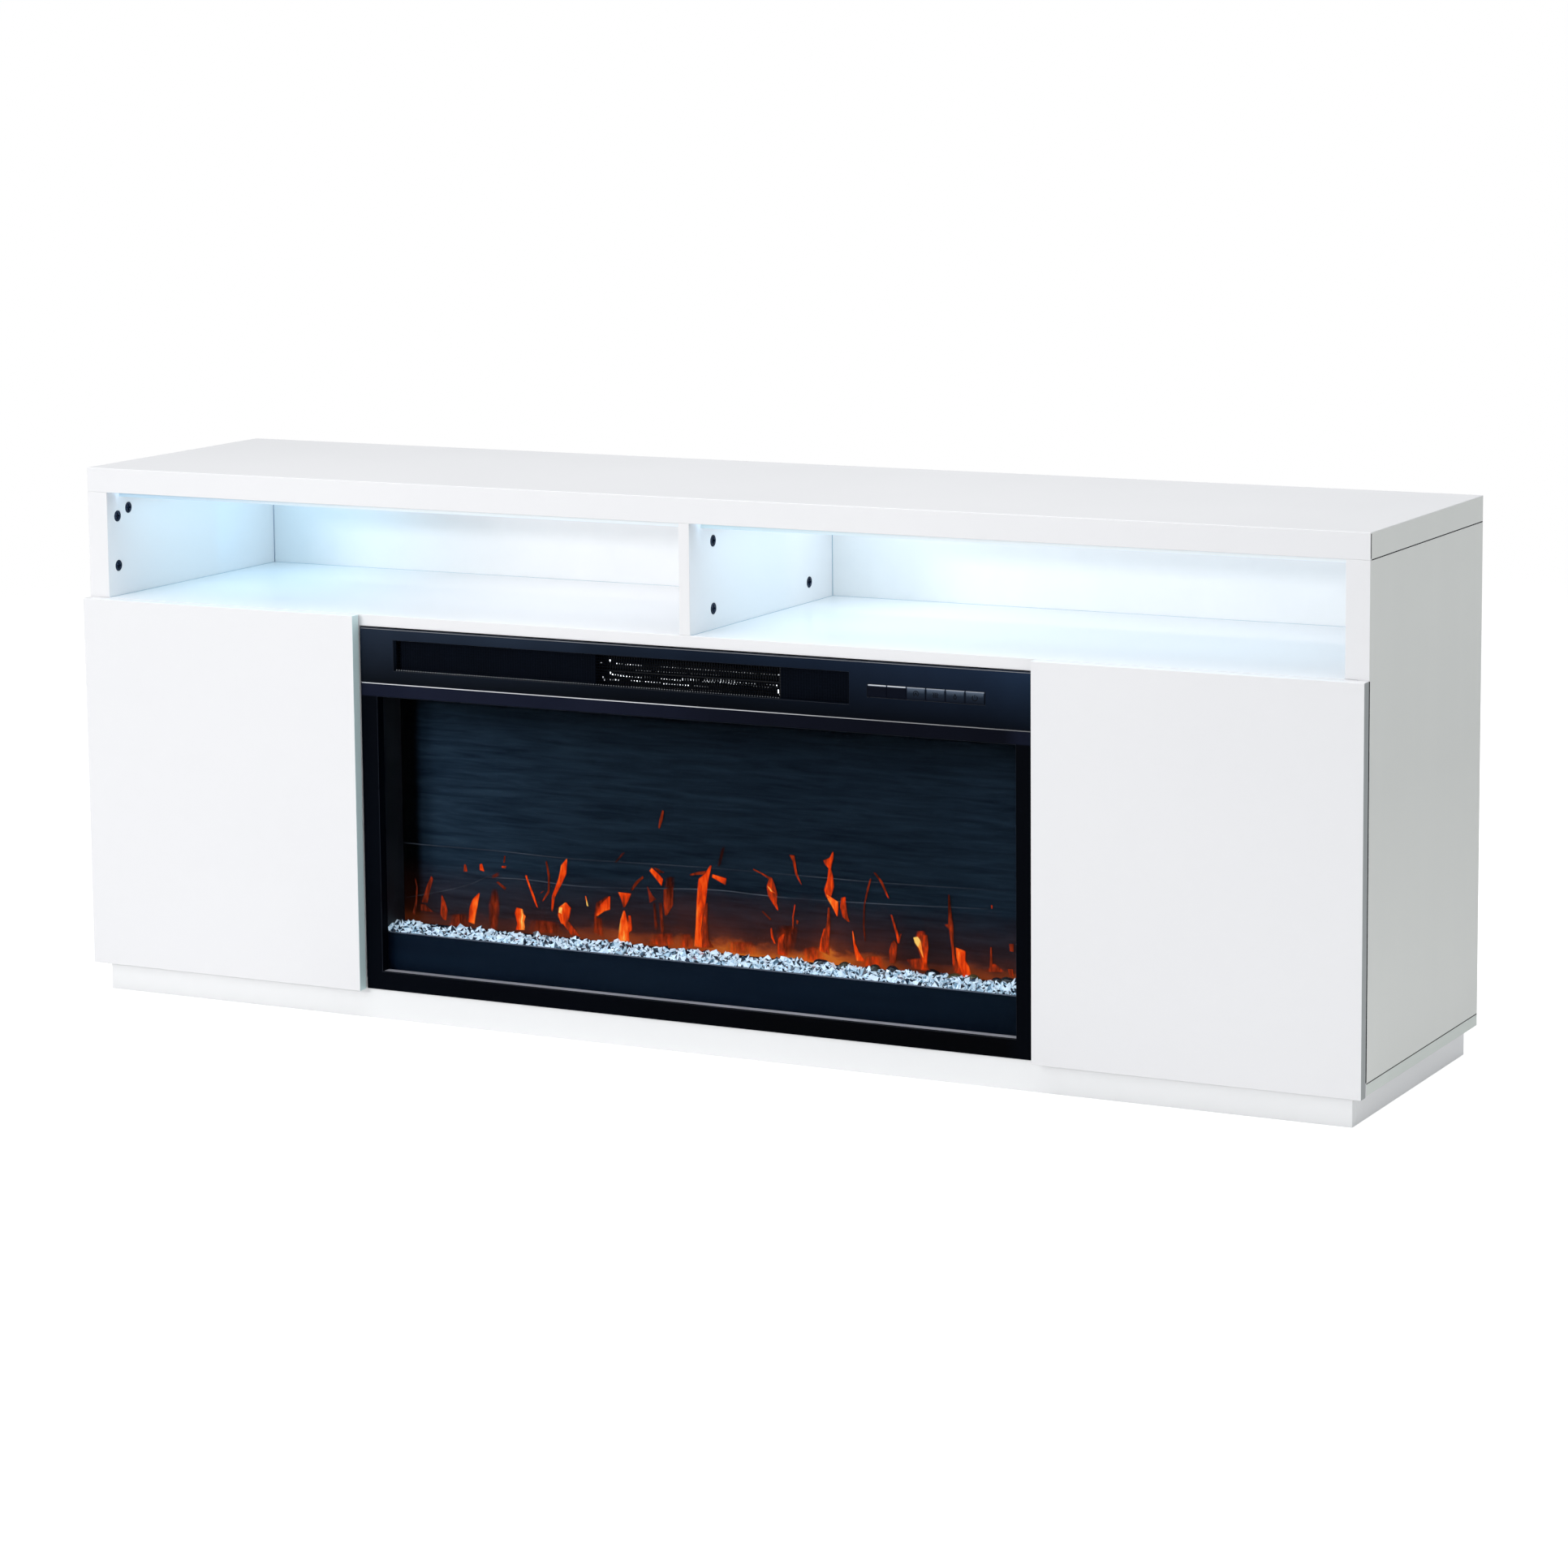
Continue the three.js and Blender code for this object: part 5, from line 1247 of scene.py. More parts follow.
# Flames on the screen, drawn in picture places. Each has rows from its tip to its foot with the left edge's
# place and the right edge's, its warmth at the tip and the foot, or at the left and right of each, and how
# much it covers the screen
flames = {
    "leftWisp": ([(511, 1082, 512, 1082), (513, 1092, 515, 1094), (512, 1110, 514, 1112),
        (508, 1125, 512, 1128)], (0.25, 0.3), 0.5),
    "leftTongue": ([(531, 1079, 534, 1083), (526, 1090, 530, 1098), (519, 1112, 527, 1113)], (0.42, 0.36),
        0.45),
    "leftTongueFoot": ([(518, 1114, 524, 1114), (518, 1122, 535, 1124)], (0.36, 0.3, 0.3, 0.28), 0.45),
    "leftBud": ([(544, 1103, 545, 1103), (543, 1118, 549, 1112), (542, 1126, 552, 1122),
        (546, 1133, 550, 1134)], (0.5, 0.5, 0.45, 0.5), 0.65),
    "leftRise": ([(590, 1100, 591, 1101), (582, 1108, 589, 1115), (578, 1118, 586, 1130),
        (577, 1136, 585, 1139)], (0.5, 0.8, 0.55, 0.92), 1),
    "redPillar": ([(606, 1095, 613, 1095), (601, 1115, 617, 1115), (603, 1148, 613, 1148)], (0.25, 0.42),
        -0.75),
    "redSmudge": ([(611, 1087, 614, 1086), (622, 1097, 624, 1094)], (0.42, 0.36), 0.55),
    "redSmudgeHigh": ([(605, 1079, 615, 1074), (606, 1083, 616, 1079)], (0.32, 0.32), -0.5),
    "sparkA": ([(572, 1065, 574, 1065), (571, 1074, 576, 1074)], (0.5, 0.42), 0.8),
    "sparkB": ([(591, 1065, 594, 1064), (591, 1072, 597, 1074)], (0.66, 0.66, 0.6, 0.55), 0.95),
    "sparkC": ([(621, 1054, 623, 1055), (620, 1063, 622, 1063)], (0.36, 0.42), 0.7),
    "sparkD": ([(618, 1067, 624, 1067), (618, 1069, 623, 1070)], (0.5, 0.5), 0.8),
    "leanRight": ([(647, 1079, 649, 1078), (650, 1088, 653, 1090), (657, 1108, 659, 1105),
        (661, 1117, 663, 1119)], (0.72, 0.6, 0.55, 0.55), 1),
    "thinCurl": ([(672, 1062, 674, 1060), (675, 1080, 678, 1080), (675, 1097, 677, 1100),
        (668, 1110, 669, 1111)], (0.28, 0.4), 0.85),
    "curlSpark": ([(666, 1100, 671, 1097), (666, 1101, 669, 1099)], (0.45, 0.45), 0.7),
    "blade": ([(698, 1058, 699, 1059), (691, 1066, 698, 1077), (688, 1082, 692, 1090), (680, 1104, 684, 1105),
        (679, 1121, 681, 1124)], (0.82, 0.6, 0.58, 0.5), 1),
    "lowFire": ([(636, 1118, 644, 1120), (634, 1125, 646, 1128), (637, 1138, 643, 1133),
        (635, 1146, 647, 1146)], (0.6, 0.9, 0.6, 1.0), 1),
    "lowFireEdge": ([(643, 1124, 648, 1129), (642, 1132, 646, 1136), (644, 1142, 647, 1144)],
        (1.0, 0.9, 0.9, 0.8), 0.9),
    "roundFire": ([(696, 1112, 698, 1112), (688, 1118, 704, 1119), (687, 1128, 702, 1130),
        (691, 1138, 699, 1140)], (0.9, 0.5, 0.75, 0.5), 1),
    "roundFireCore": ([(689, 1118, 694, 1118), (688, 1124, 693, 1127)], (1.25, 1.15, 1.1, 1.0), 0.95),
    "roundFireTail": ([(693, 1138, 701, 1135), (699, 1146, 706, 1142), (703, 1152, 716, 1154)],
        (0.6, 0.5, 0.42, 0.4), 0.8),
    "needleA": ([(721, 1104, 722, 1104), (723, 1116, 725, 1117)], (0.7, 1.1), 0.95),
    "kite": ([(751, 1104, 752, 1105), (742, 1111, 752, 1121), (735, 1118, 745, 1123), (733, 1128, 736, 1129)],
        (0.5, 0.62, 0.52, 0.9), 1),
    "kiteShade": ([(749, 1103, 750, 1105), (734, 1112, 740, 1116), (731, 1130, 736, 1132),
        (731, 1148, 738, 1150)], (0.32, 0.32, 0.4, 0.45), -0.7),
    "kiteFoot": ([(735, 1130, 742, 1131), (731, 1142, 743, 1142), (730, 1150, 746, 1156)],
        (0.4, 0.35, 0.5, 0.4), -0.75),
    "capTop": ([(761, 1099, 778, 1101), (765, 1108, 775, 1109), (768, 1118, 770, 1118)],
        (0.72, 0.68, 0.36, 0.36), 1),
    "capBody": ([(768, 1122, 770, 1122), (764, 1134, 772, 1130), (762, 1148, 775, 1142),
        (761, 1160, 776, 1160)], (0.8, 0.7, 0.98, 0.75), 1),
    "capFork": ([(774, 1128, 777, 1128), (773, 1140, 779, 1142), (774, 1150, 779, 1146)],
        (0.62, 0.6, 0.7, 0.6), 1),
    "wispB": ([(792, 1079, 793, 1082), (783, 1086, 786, 1089), (777, 1096, 779, 1098)], (0.35, 0.25), 0.7),
    "shard": ([(800, 1073, 803, 1069), (808, 1083, 812, 1077), (815, 1092, 817, 1083)],
        (0.75, 0.7, 0.6, 0.62), 1),
    "shardShade": ([(805, 1069, 810, 1070), (812, 1076, 819, 1075)], (0.35, 0.25), 0.6),
    "olive": ([(797, 1092, 798, 1092), (799, 1103, 804, 1103), (800, 1113, 809, 1108)], (0.3, 0.42), 0.4),
    "redLeaf": ([(817, 1096, 830, 1092), (817, 1115, 830, 1115), (819, 1128, 822, 1128)],
        (0.3, 0.3, 0.45, 0.4), 0.85),
    "redLeafTop": ([(820, 1080, 832, 1080), (818, 1094, 831, 1096)], (0.15, 0.3), -0.6),
    "shaftA": ([(804, 1112, 808, 1112), (806, 1146, 811, 1146)], (0.32, 0.36), -0.55),
    "shaftB": ([(811, 1112, 816, 1112), (814, 1150, 819, 1150)], (0.35, 0.4), -0.6),
    "wispC": ([(767, 1050, 771, 1050), (757, 1062, 759, 1064)], (0.28, 0.2), -0.45),
    "main": ([(875, 1066, 877, 1067), (868, 1077, 873, 1085), (860, 1083, 870, 1112), (858, 1110, 866, 1130),
        (857, 1140, 864, 1148), (855, 1166, 866, 1168)], (0.6, 0.55, 0.86, 0.68), 1),
    "mainShade": ([(869, 1114, 872, 1112), (866, 1130, 872, 1140), (864, 1150, 874, 1158),
        (864, 1168, 881, 1168)], (0.42, 0.35, 0.52, 0.35), 0.85),
    "mainArm": ([(850, 1077, 850, 1079), (860, 1074, 860, 1078), (870, 1073, 868, 1078)], (0.4, 0.5), 0.8),
    "mainFlag": ([(878, 1077, 877, 1081), (895, 1082, 894, 1091)], (0.74, 0.68, 0.6, 0.4), 1),
    "hookTail": ([(928, 1070, 928, 1072), (938, 1075, 938, 1077), (949, 1081, 948, 1084)], (0.4, 0.42), 0.8),
    "hook": ([(948, 1081, 951, 1081), (944, 1092, 955, 1090), (946, 1104, 958, 1102), (952, 1113, 957, 1112),
        (958, 1122, 959, 1121)], (0.55, 0.45, 0.62, 0.55), 1),
    "hookLight": ([(945, 1091, 949, 1094), (947, 1097, 957, 1102)], (1.0, 0.9, 0.9, 0.8), 0.9),
    "rightWisp": ([(972, 1053, 979, 1054), (976, 1060, 980, 1062), (980, 1078, 983, 1078),
        (987, 1090, 988, 1090)], (0.35, 0.5, 0.42, 0.42), 0.85),
    "faintDash": ([(938, 1123, 940, 1122), (949, 1134, 951, 1133)], (0.3, 0.25), 0.5),
    "needleB": ([(949, 1144, 951, 1143), (950, 1155, 953, 1155), (954, 1163, 956, 1163)],
        (0.55, 0.6, 0.58, 0.55), 0.95),
    "emberTwin": ([(965, 1150, 967, 1151), (959, 1156, 965, 1160), (958, 1164, 965, 1166),
        (958, 1176, 972, 1178)], (0.5, 0.6, 0.62, 0.5), 0.95),
    "emberGlow": ([(959, 1140, 984, 1140), (955, 1155, 982, 1160), (957, 1176, 976, 1178)],
        (0.25, 0.25, 0.45, 0.42), -0.65),
    "thinA": ([(979, 1114, 980, 1115), (976, 1130, 978, 1130), (976, 1145, 978, 1145)], (0.5, 0.38), 0.75),
    "sparkE": ([(981, 1133, 984, 1135), (981, 1138, 983, 1139)], (0.5, 0.45), 0.75),
    "snakeHead": ([(1026, 1049, 1027, 1051), (1022, 1057, 1027, 1057), (1014, 1060, 1026, 1062),
        (1016, 1065, 1025, 1067), (1021, 1070, 1024, 1072)], (0.5, 0.5, 0.6, 0.55), 1),
    "snake": ([(1021, 1068, 1024, 1070), (1019, 1084, 1027, 1082), (1015, 1096, 1028, 1093),
        (1018, 1106, 1024, 1106)], (0.58, 0.52, 0.72, 0.5), 1),
    "snakeFold": ([(1017, 1101, 1022, 1104), (1020, 1109, 1033, 1111), (1026, 1119, 1033, 1120),
        (1031, 1129, 1032, 1129)], (1.0, 0.85, 0.7, 0.58), 1),
    "snakeTail": ([(1036, 1106, 1042, 1105), (1035, 1118, 1043, 1118), (1038, 1130, 1045, 1130),
        (1045, 1136, 1047, 1136)], (0.48, 0.58, 0.45, 0.45), 0.95),
    "footShaft": ([(1020, 1118, 1022, 1118), (1018, 1140, 1023, 1140), (1013, 1152, 1022, 1160),
        (1011, 1172, 1023, 1178)], (0.4, 0.4, 0.55, 0.42), 0.85),
    "footEdge": ([(1015, 1144, 1017, 1144), (1011, 1158, 1013, 1158), (1009, 1172, 1012, 1173)],
        (0.6, 0.55, 0.75, 0.6), 0.9),
    "emberC": ([(1050, 1147, 1051, 1147), (1051, 1160, 1054, 1163), (1053, 1175, 1059, 1174),
        (1055, 1184, 1067, 1185)], (0.8, 0.8, 0.7, 0.55), 1),
    "thinB": ([(1072, 1082, 1074, 1083), (1068, 1095, 1070, 1098), (1064, 1115, 1066, 1115),
        (1063, 1140, 1065, 1140), (1065, 1160, 1067, 1160)], (0.35, 0.3), 0.7),
    "thinC": ([(1076, 1075, 1079, 1075), (1085, 1088, 1088, 1087), (1093, 1105, 1096, 1108)], (0.25, 0.5),
        0.75),
    "thinD": ([(1097, 1127, 1099, 1127), (1103, 1148, 1106, 1148), (1106, 1163, 1109, 1159)], (0.45, 0.55),
        0.95),
    "thinE": ([(1109, 1151, 1111, 1150), (1106, 1161, 1108, 1163)], (0.4, 0.5), 0.8),
    "emberD": ([(1098, 1162, 1102, 1158), (1095, 1172, 1106, 1164), (1096, 1187, 1104, 1187)],
        (0.42, 0.42, 0.55, 0.42), 0.85),
    "glowPillar": ([(1129, 1147, 1140, 1147), (1126, 1160, 1144, 1160), (1133, 1176, 1143, 1176),
        (1137, 1190, 1143, 1191)], (0.5, 0.5, 0.62, 0.5), -1),
    "glowWall": ([(1133, 1152, 1143, 1152), (1137, 1168, 1144, 1168), (1138, 1186, 1142, 1188)],
        (0.5, 0.45, 0.65, 0.52), 0.8),
    "hotCore": ([(1125, 1155, 1131, 1154), (1127, 1162, 1137, 1160), (1132, 1169, 1137, 1170),
        (1137, 1180, 1139, 1181)], (1.2, 1.25, 0.85, 0.8), 1),
    "redBase": ([(1116, 1182, 1139, 1180), (1124, 1194, 1146, 1197)], (0.4, 0.5, 0.5, 0.55), -1),
    "rightRod": ([(1168, 1102, 1170, 1102), (1168, 1120, 1172, 1120), (1168, 1140, 1175, 1142),
        (1172, 1165, 1175, 1165), (1174, 1190, 1179, 1190)], (0.22, 0.22, 0.5, 0.42), 0.85),
    "rightCuff": ([(1163, 1139, 1170, 1138), (1170, 1147, 1176, 1150)], (0.38, 0.42, 0.42, 0.42), -0.8),
    "rightFire": ([(1177, 1167, 1190, 1172), (1178, 1180, 1190, 1184), (1181, 1192, 1195, 1192),
        (1186, 1204, 1197, 1204)], (0.82, 0.7, 0.6, 0.6), 1),
    "rightFireFoot": ([(1172, 1182, 1182, 1184), (1174, 1198, 1188, 1204)], (0.4, 0.5, 0.45, 0.55), -0.9),
    "farRod": ([(1220, 1167, 1222, 1167), (1219, 1194, 1223, 1194)], (0.35, 0.35, 0.45, 0.42), 0.8),
    "farEmber": ([(1222, 1188, 1226, 1187), (1212, 1198, 1240, 1198)], (0.5, 0.5, 0.45, 0.5), -0.9),
    "sparkF": ([(1221, 1115, 1223, 1116), (1221, 1119, 1223, 1120)], (0.5, 0.5), 0.6),
    "edgeHigh": ([(1243, 1163, 1249, 1163), (1244, 1172, 1249, 1173)], (0.4, 0.4), 0.8),
    "edgeLow": ([(1241, 1194, 1248, 1194), (1244, 1203, 1249, 1203)], (0.45, 0.45), 0.8),
    "lone": ([(816, 998, 818, 999), (812, 1010, 817, 1009), (811, 1020, 813, 1021)], (0.36, 0.4, 0.36, 0.3),
        0.75),
    "faintRise": ([(889, 1043, 894, 1043), (883, 1068, 888, 1068)], (0.16, 0.12), -0.5),
    "puffA": ([(803, 1151, 829, 1149), (796, 1164, 832, 1166)], (0.36, 0.4, 0.5, 0.52), -0.7),
    "puffB": ([(838, 1151, 852, 1150), (836, 1168, 856, 1168)], (0.4, 0.42, 0.52, 0.55), -0.7),
    "puffC": ([(896, 1160, 928, 1160), (890, 1174, 938, 1178)], (0.45, 0.42, 0.55, 0.5), -0.7),
    "puffD": ([(990, 1168, 1010, 1165), (984, 1184, 1022, 1186)], (0.42, 0.45, 0.58, 0.55), -0.75),
    "puffE": ([(1066, 1178, 1086, 1178), (1058, 1190, 1092, 1194)], (0.5, 0.5, 0.58, 0.55), -0.75),
    "puffF": ([(652, 1132, 690, 1136), (650, 1148, 694, 1152)], (0.32, 0.36, 0.42, 0.42), -0.6),
    "puffG": ([(556, 1126, 576, 1126), (552, 1142, 580, 1142)], (0.3, 0.42), -0.6),
}
flameLay = {"steps": 20, "ahead": 0.6, "stagger": 0.012, "thickness": 0.12, "sides": 8, "crisp": 3.4,
            "weld": 0.001}

# Pale lines across the screen in picture places, with their width and warmth
waves = {
    "upper": ([(480, 1036), (525, 1041), (619, 1049), (704, 1058), (870, 1069), (1010, 1081), (1090, 1088),
               (1243, 1098)], 1.5, 0.35),
    "lower": ([(600, 1081), (650, 1084), (729, 1093), (870, 1096), (930, 1102), (980, 1107), (1090, 1114),
               (1217, 1120)], 1.5, 0.75),
    "left": ([(500, 1106), (550, 1097), (580, 1089), (605, 1078)], 1.3, 0.3),
}
waveLay = {"steps": 70, "ahead": 0.25, "thickness": 0.1, "sides": 6, "cover": 0.7}


def resampled(points, count):
    # Evenly spaced places along straight lines between the points
    points = np.asarray(points, float)
    gone = np.concatenate([[0], np.cumsum(np.linalg.norm(np.diff(points, axis=0), axis=1))])
    at = np.linspace(0, gone[-1], count)
    return np.stack([np.interp(at, gone, points[:, axis]) for axis in range(2)], 1)


def glowPiece(name, look, parts):
    # Tubes of light joined into one piece, with their warmth and how much they cover kept on the points
    piece = meshOf(name, *joined(*[(points.reshape(-1, 3), quads.tolist()) for points, quads, _, _ in parts]))
    for key, place in (("warmth", 2), ("fade", 3)):
        marked(piece, key, np.concatenate([part[place].ravel() for part in parts]))
    built = bmesh.new()
    built.from_mesh(piece.data)
    bmesh.ops.remove_doubles(built, verts=built.verts, dist=flameLay["weld"] * mm)
    bmesh.ops.recalc_face_normals(built, faces=built.faces)
    built.to_mesh(piece.data)
    built.free()
    settle(piece, [look])


def acrossTube(sides):
    return np.cos(np.arange(sides) / sides * 2 * math.pi)[None, :]


def makeFlames():
    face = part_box("flame_screen")[0].y
    sides, steps = flameLay["sides"], flameLay["steps"]
    across = acrossTube(sides)
    beside, inner = (across + 1) / 2, 1 - np.abs(across)
    down = np.concatenate([[0], np.linspace(0, 1, steps), [1]])[:, None]
    fromEnd = np.minimum(down, 1 - down)
    parts = []
    for number, (rows, warmth, cover) in enumerate(flames.values()):
        planeY = face - (flameLay["ahead"] + flameLay["stagger"] * number) * mm
        edges = [onPlane(resampled(np.array(rows)[:, k:k + 2], steps), planeY) for k in (0, 2)]
        points, quads = band(*edges, flameLay["thickness"] * mm, sides)
        tipLeft, tipRight, footLeft, footRight = warmth if len(warmth) == 4 else np.repeat(warmth, 2)
        heat = (tipLeft * (1 - beside) + tipRight * beside) * (1 - down)
        heat = heat + (footLeft * (1 - beside) + footRight * beside) * down
        # A negative cover means a soft glow, which thins evenly from its middle to its edges and ends
        if cover < 0:
            fade = inner * np.clip(fromEnd * 5 + 0.15, 0, 1) * -cover
        else:
            fade = np.clip(inner * flameLay["crisp"], 0, 1) * np.clip(fromEnd * 14 + 0.35, 0, 1) * cover
        parts.append((points, quads, heat, fade))
    glowPiece("screen_flames", flameGlow, parts)


def makeWaves():
    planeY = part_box("flame_screen")[0].y - waveLay["ahead"] * mm
    across = acrossTube(waveLay["sides"])
    parts = []
    for pixels, width, warmth in waves.values():
        path = smoothed(pixels, waveLay["steps"])
        edges = [onPlane(path + sign * np.array([0, width / 2]), planeY) for sign in (-1, 1)]
        points, quads = band(*edges, waveLay["thickness"] * mm, waveLay["sides"])
        down = np.linspace(0, 1, len(points))[:, None]
        uneven = 0.55 + 0.45 * np.sin(down * 23 + warmth * 9) * np.cos(down * 9)
        uneven = uneven * np.clip(np.minimum(down, 1 - down) * 8, 0, 1)
        fade = uneven * (0.1 + 0.9 * (1 - np.abs(across))) * waveLay["cover"]
        parts.append((points, quads, np.full(points.shape[:2], warmth), fade))
    glowPiece("screen_waves", waveGlow, parts)


makeFlames()
makeWaves()
print("flames made")

# Inside and back of the insert

rear = {
    "louvreRows": 6, "louvrePitch": 11, "louvreLong": 56, "louvreTall": 4.2, "louvreRise": 2.4, "sink": 0.4,
    "groups": (-0.3, -0.16, 0.02, 0.16), "groupFoot": 0.3, "screwInset": 14, "screwSize": 1.1, "rib": 9,
    "ribRise": 1.6, "ribSink": 0.3, "ribIn": 0.05, "ribsUp": (0.16, 0.2),
}
# The pieces' finish, slot and edge radius
rearPieces = {
    "fireplace_casing": (casingSteel, "casing_steel", 0.5),
    "heater_housing": (casingSteel, "casing_steel", 0.4),
    "rotor_motor": (casingSteel, "casing_steel", 1.2),
    "blower_motor": (casingSteel, "casing_steel", 1.2),
    "control_board": (circuitBoard, "board_green", 0.15),
    "cord_gland": (blackPlastic, "black_plastic", 0.5),
    "ember_led_bar": (emberGlow, "strip_light", 0.4),
    "flame_rotor": (rotorFoil, "rotor_foil", 0.15),
    "blower_wheel": (wheelMetal, "heater_metal", 0.15),
}
pins = {"radius": 2.2, "rise": 0.5, "sink": 0.4, "crown": [(1, 0.94), (0.85, 1), (0, 1)], "sides": 12,
        "pitch": 118, "inset": 9}


def makeRear():
    for node, (look, slot, width) in rearPieces.items():
        spins = node in ("flame_rotor", "blower_wheel")
        settle(softened(node, width, 1 if spins else 2), [look], node if spins else "cabinet", [node])
    low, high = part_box("fireplace_casing")
    back = high.y
    # A louvre is half of a long pressed bead: its depth is a sine across it, and both its ends thin out
    half, tall, rise, pitch, inset, ribHigh, ribSink, sink = (rear[key] * mm for key in (
        "louvreLong", "louvreTall", "louvreRise", "louvrePitch", "screwInset", "ribRise", "ribSink", "sink"))
    half /= 2
    u, v = np.linspace(-1, 1, 13), np.linspace(0, 1, 6)
    bulge = rise * np.clip(1 - np.abs(u)[:, None] ** 6, 0, 1) * np.sin(v[None, :] * math.pi * 0.62 + 0.02)
    louvre = sheetBlock(u * half, v * tall, bulge, np.full_like(bulge, -sink))
    rows = np.arange(rear["louvreRows"]) * pitch + rear["groupFoot"]
    spots = np.array([(x, back, z) for x in rear["groups"] for z in rows])
    addPiece("casing_louvres", [repeated(louvre, spots)], [casingSteel])
    reach = half * 0.94
    # Dark slivers at the louvres' openings: painted shade
    shade = roundedBoard((-reach, -0.3 * mm, -1.1 * mm), (reach, 0.25 * mm, 0.1 * mm), 0.05 * mm, 1)
    addPiece("casing_louvre_shade", [repeated(shade, spots)], [seamShade])
    across = np.linspace(low.x + inset, high.x - inset, 6)
    screwsPiece("casing_screws", [screwAt("y", 1, (x, back, z), rear["screwSize"]) for x in across
                                  for z in (low.z + inset, high.z - inset)])
    # Two pressed ribs stiffen the back sheet
    angle = np.linspace(0, math.pi, 9)
    ribs = []
    for up in rear["ribsUp"]:
        arc = [back - ribSink + ribHigh * np.sin(angle), low.z + up + rear["rib"] * mm / 2 * np.cos(angle)]
        ribs.append(carried(np.stack(arc, 1), "x", low.x + rear["ribIn"], high.x - rear["ribIn"]))
    addPiece("casing_ribs", ribs, [casingSteel])


def makePins():
    # Small nail heads along the edges of the thin back boards
    rise, inset, pitch = (pins[key] * mm for key in ("rise", "inset", "pitch"))
    spots = []
    for node in backs:
        low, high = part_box(node)
        across, upright = (
            np.linspace(low[k] + inset, high[k] - inset, max(least, round((high[k] - low[k]) / pitch)))
            for k, least in ((0, 3), (2, 2)))
        spots += [(x, high.y - rise, z) for x in across for z in (upright[0], upright[-1])]
        spots += [(x, high.y - rise, z) for x in (across[0], across[-1]) for z in upright[1:-1]]
    addPiece("back_pins", [repeated(stud(pins, (0, 0, 0)), np.array(spots))], [screwSteel])


def makeScreen():
    nodes["flame_screen"].data.materials.clear()
    nodes["flame_screen"].data.materials.append(flameScreen)


makeRear()
makePins()
makeScreen()
print("back made")

# Floor, lights and world

stage = {"radius": 5, "clearFrom": 2.0, "clearTo": 4.6, "rings": 30, "sides": 72, "tone": 0.8, "lift": 0.66}
# Lamps: place, aim, size, power and tint
lamps = {
    "keyLight": ((-2.2, -5.6, 1.75), (0, 0, 0.3), (1.3, 0.3), 79, (1, 1, 1)),
    "softKey": ((-2.4, -4.4, 2.9), (0, 0, 0.3), (3.6, 2.4), 50.5, (1, 1, 1)),
    "topLight": ((0.1, -0.3, 3.6), (0, 0, 0.6), (4.2, 2.6), 73.8, (1, 1, 1)),
    "sideHigh": ((4.2, 0.3, 1.3), (0.9, 0, 0.6), (1.2, 0.6), 2, (1, 1, 0.97)),
    "footLight": ((1.18, 0, 0.02), (0.9, 0, 0.02), (0.5, 0.03), 0.07, (1, 1, 1)),
}
# Wide soft lamps in the bays, as shares of a bay's width: start, end, power and tint
bayLamps = {
    "leftEnd": ("left", "flat", 0.01, 0.25, 0.228, (0.5, 0.83, 1)),
    "leftPale": ("left", "flat", 0.38, 0.98, 0.293, (0.86, 0.945, 1)),
    "leftCorner": ("left", "upright", 0.01, 0.12, 0.012, (0.05, 0.5, 1)),
    "leftBack": ("left", "upright", 0.15, 0.99, 0.088, (0.8, 0.67, 0.56)),
    "rightEnd": ("right", "flat", 0.01, 0.25, 0.245, (0.64, 0.875, 1)),
    "rightPale": ("right", "flat", 0.26, 0.98, 0.335, (0.61, 0.86, 1)),
    "rightBack": ("right", "upright", 0.05, 0.99, 0.113, (1, 0.8, 0.68)),
}
# The flat ones lie under the top, from one share of the bay's depth to another; the upright ones stand at
# one share of it, with their height next, and face the back wall. The last number is how far down they hang
bayPlaces = {"flat": (0.12, 0.97, 9), "upright": (0.631, 103, 66)}
skyLight = {"fill": 0.512, "seen": 1.0, "tint": (0.945, 0.974, 1)}


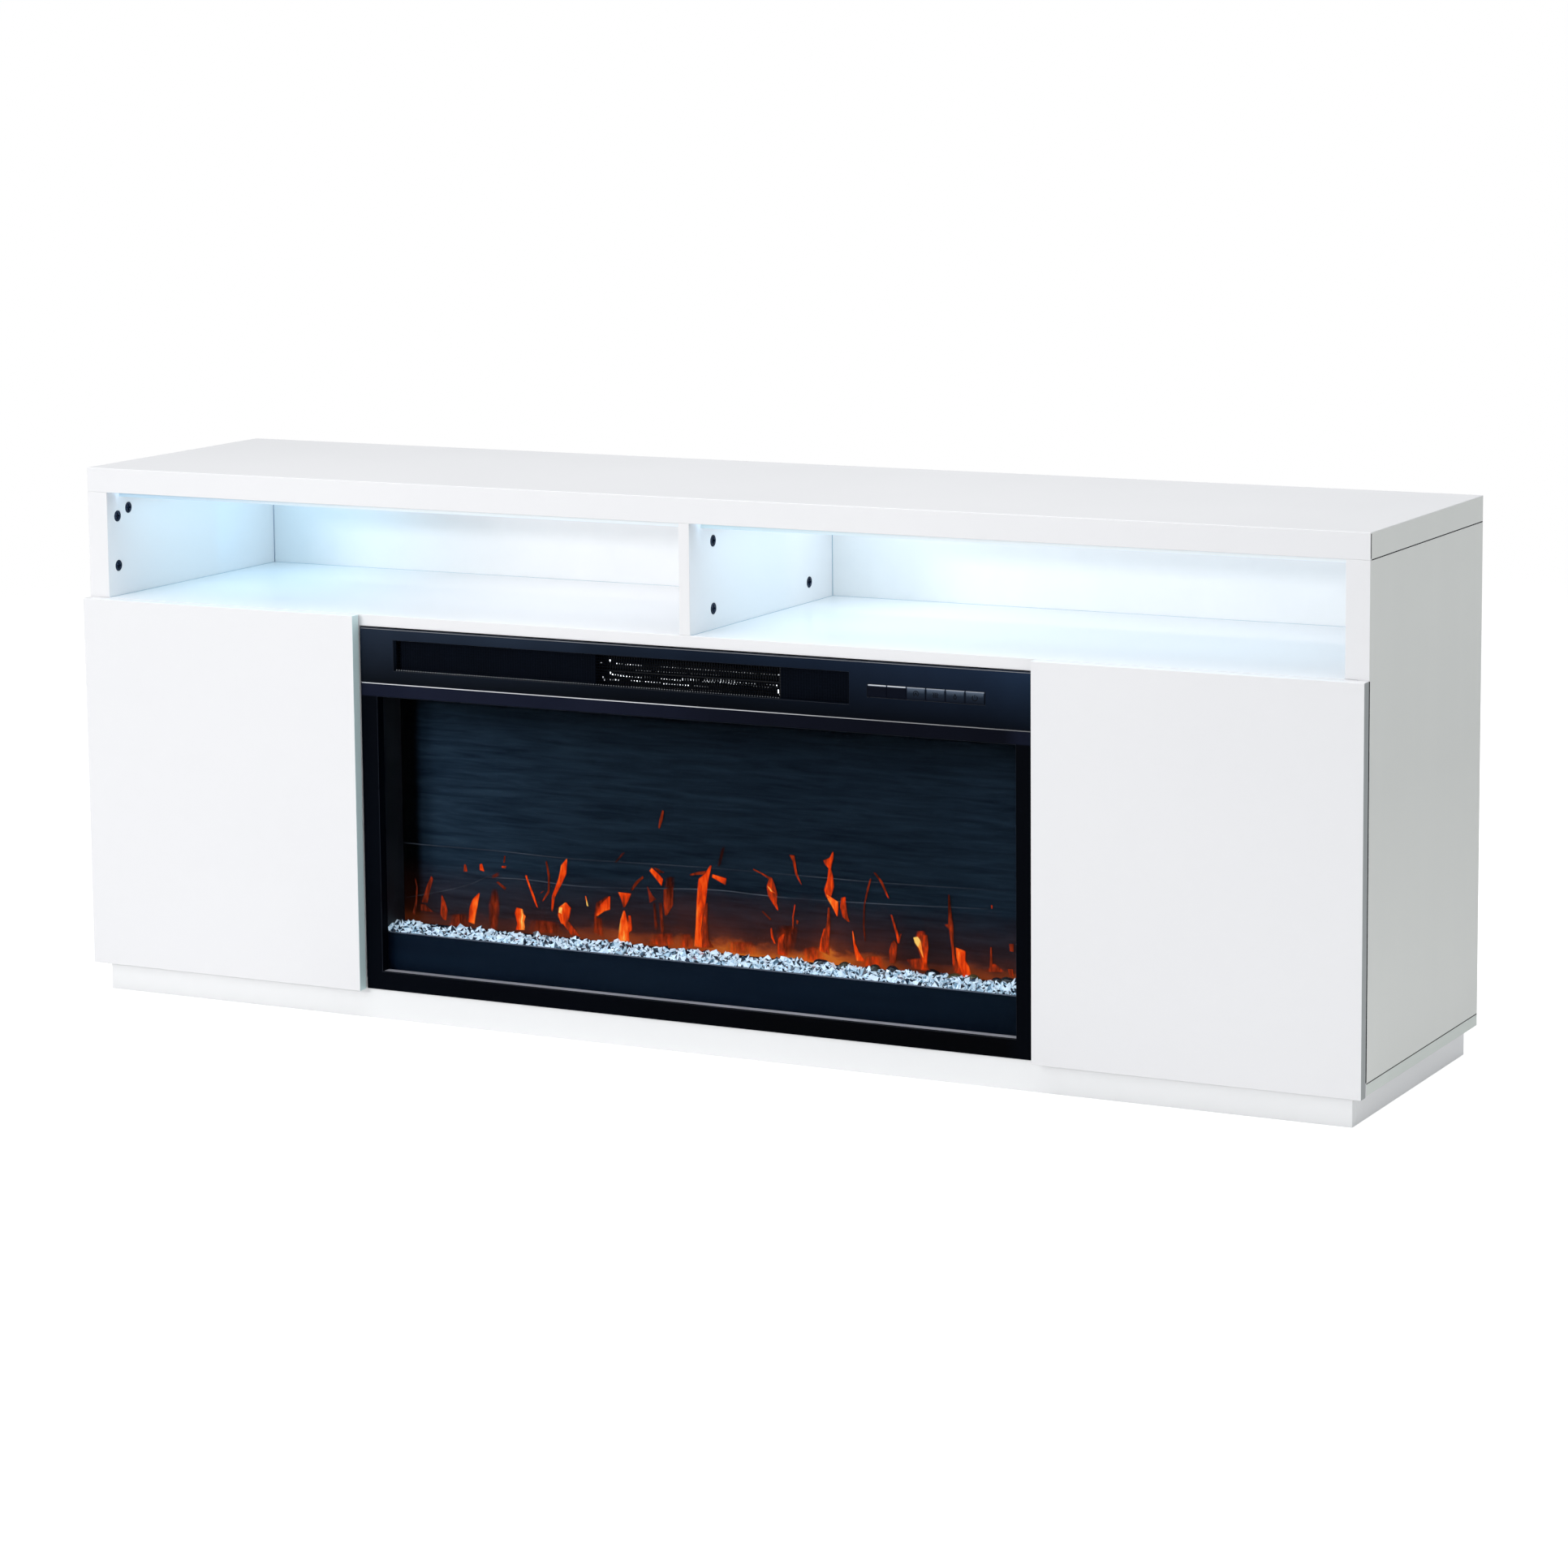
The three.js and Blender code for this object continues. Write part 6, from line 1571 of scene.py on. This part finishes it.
def makeFloor():
    # A round floor whose edge thins away into the white world: rings of points at even radii
    rings = [(radius, 0) for radius in np.linspace(0, stage["radius"], stage["rings"])]
    floor = meshOf("floor", *turned(rings, "z", (0, 0, 0), stage["sides"]))
    # The floor is lifted to white where the camera sees it, and lights the object as a paler grey
    made, tree, shader = blankLook("paleFloor", **{
        "Base Color": ((stage["tone"],) * 3 + (1,)), "Roughness": 0.8, "Specular IOR Level": 0.1,
        "Emission Color": (1, 1, 1, 1)})
    seen = wire(tree, "ShaderNodeLightPath").outputs["Is Camera Ray"]
    length = wire(tree, "ShaderNodeVectorMath", {0: ownPlace(tree)}, operation="LENGTH")
    shown = wire(tree, "ShaderNodeMapRange", {"Value": length.outputs["Value"]}, {
        "From Min": stage["clearFrom"], "From Max": stage["clearTo"], "To Min": 1, "To Max": 0},
        interpolation_type="SMOOTHSTEP")
    feed(tree, shader, {"Alpha": shown.outputs["Result"],
                        "Emission Strength": maths(tree, "MULTIPLY", seen, stage["lift"])})
    floor.data.materials.append(made)


def addLamp(name, place, turn, size, power, tint):
    made = bpy.data.lights.new(name, "AREA")
    made.shape, made.size, made.size_y = "RECTANGLE", *size
    made.energy, made.color = power, tint
    lamp = bpy.data.objects.new(name, made)
    scene.collection.objects.link(lamp)
    lamp.location, lamp.rotation_euler = place, turn
    lamp.visible_camera = False


def makeLights():
    for name, (place, aim, *values) in lamps.items():
        turn = (Vector(aim) - Vector(place)).to_track_quat("-Z", "Y").to_euler()
        addLamp(name, place, turn, *values)
    front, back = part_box("deck_shelf")[0].y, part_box("upper_back_panel")[0].y
    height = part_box("top_panel")[0].z
    for name, (side, kind, start, end, power, tint) in bayLamps.items():
        low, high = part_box(side + "_led_strip")
        x0, x1 = (low.x + (high.x - low.x) * share for share in (start, end))
        near, far, drop = bayPlaces[kind]
        y0, y1 = (front + (back - front) * share for share in (near, far if kind == "flat" else near))
        size = (x1 - x0, y1 - y0 if kind == "flat" else far * mm)
        place = Vector(((x0 + x1) / 2, (y0 + y1) / 2, height - drop * mm))
        addLamp(name, place, (math.radians(90) if kind == "upright" else 0, 0, 0), size, power, tint)


def makeWorld():
    world = bpy.data.worlds.new("studio")
    scene.world = world
    world.use_nodes = True
    tree = world.node_tree
    fill = tree.nodes["Background"]
    fill.inputs["Color"].default_value = (*skyLight["tint"], 1)
    fill.inputs["Strength"].default_value = skyLight["fill"]
    seen = wire(tree, "ShaderNodeBackground", values={"Color": (1, 1, 1, 1), "Strength": skyLight["seen"]})
    isSeen = wire(tree, "ShaderNodeLightPath").outputs["Is Camera Ray"]
    mixed = wire(tree, "ShaderNodeMixShader", {0: isSeen, 1: fill.outputs[0], 2: seen.outputs[0]})
    feed(tree, tree.nodes["World Output"], {"Surface": mixed.outputs[0]})


makeFloor()
makeLights()
makeWorld()
scene.view_settings.view_transform = "Standard"
print("stage made")
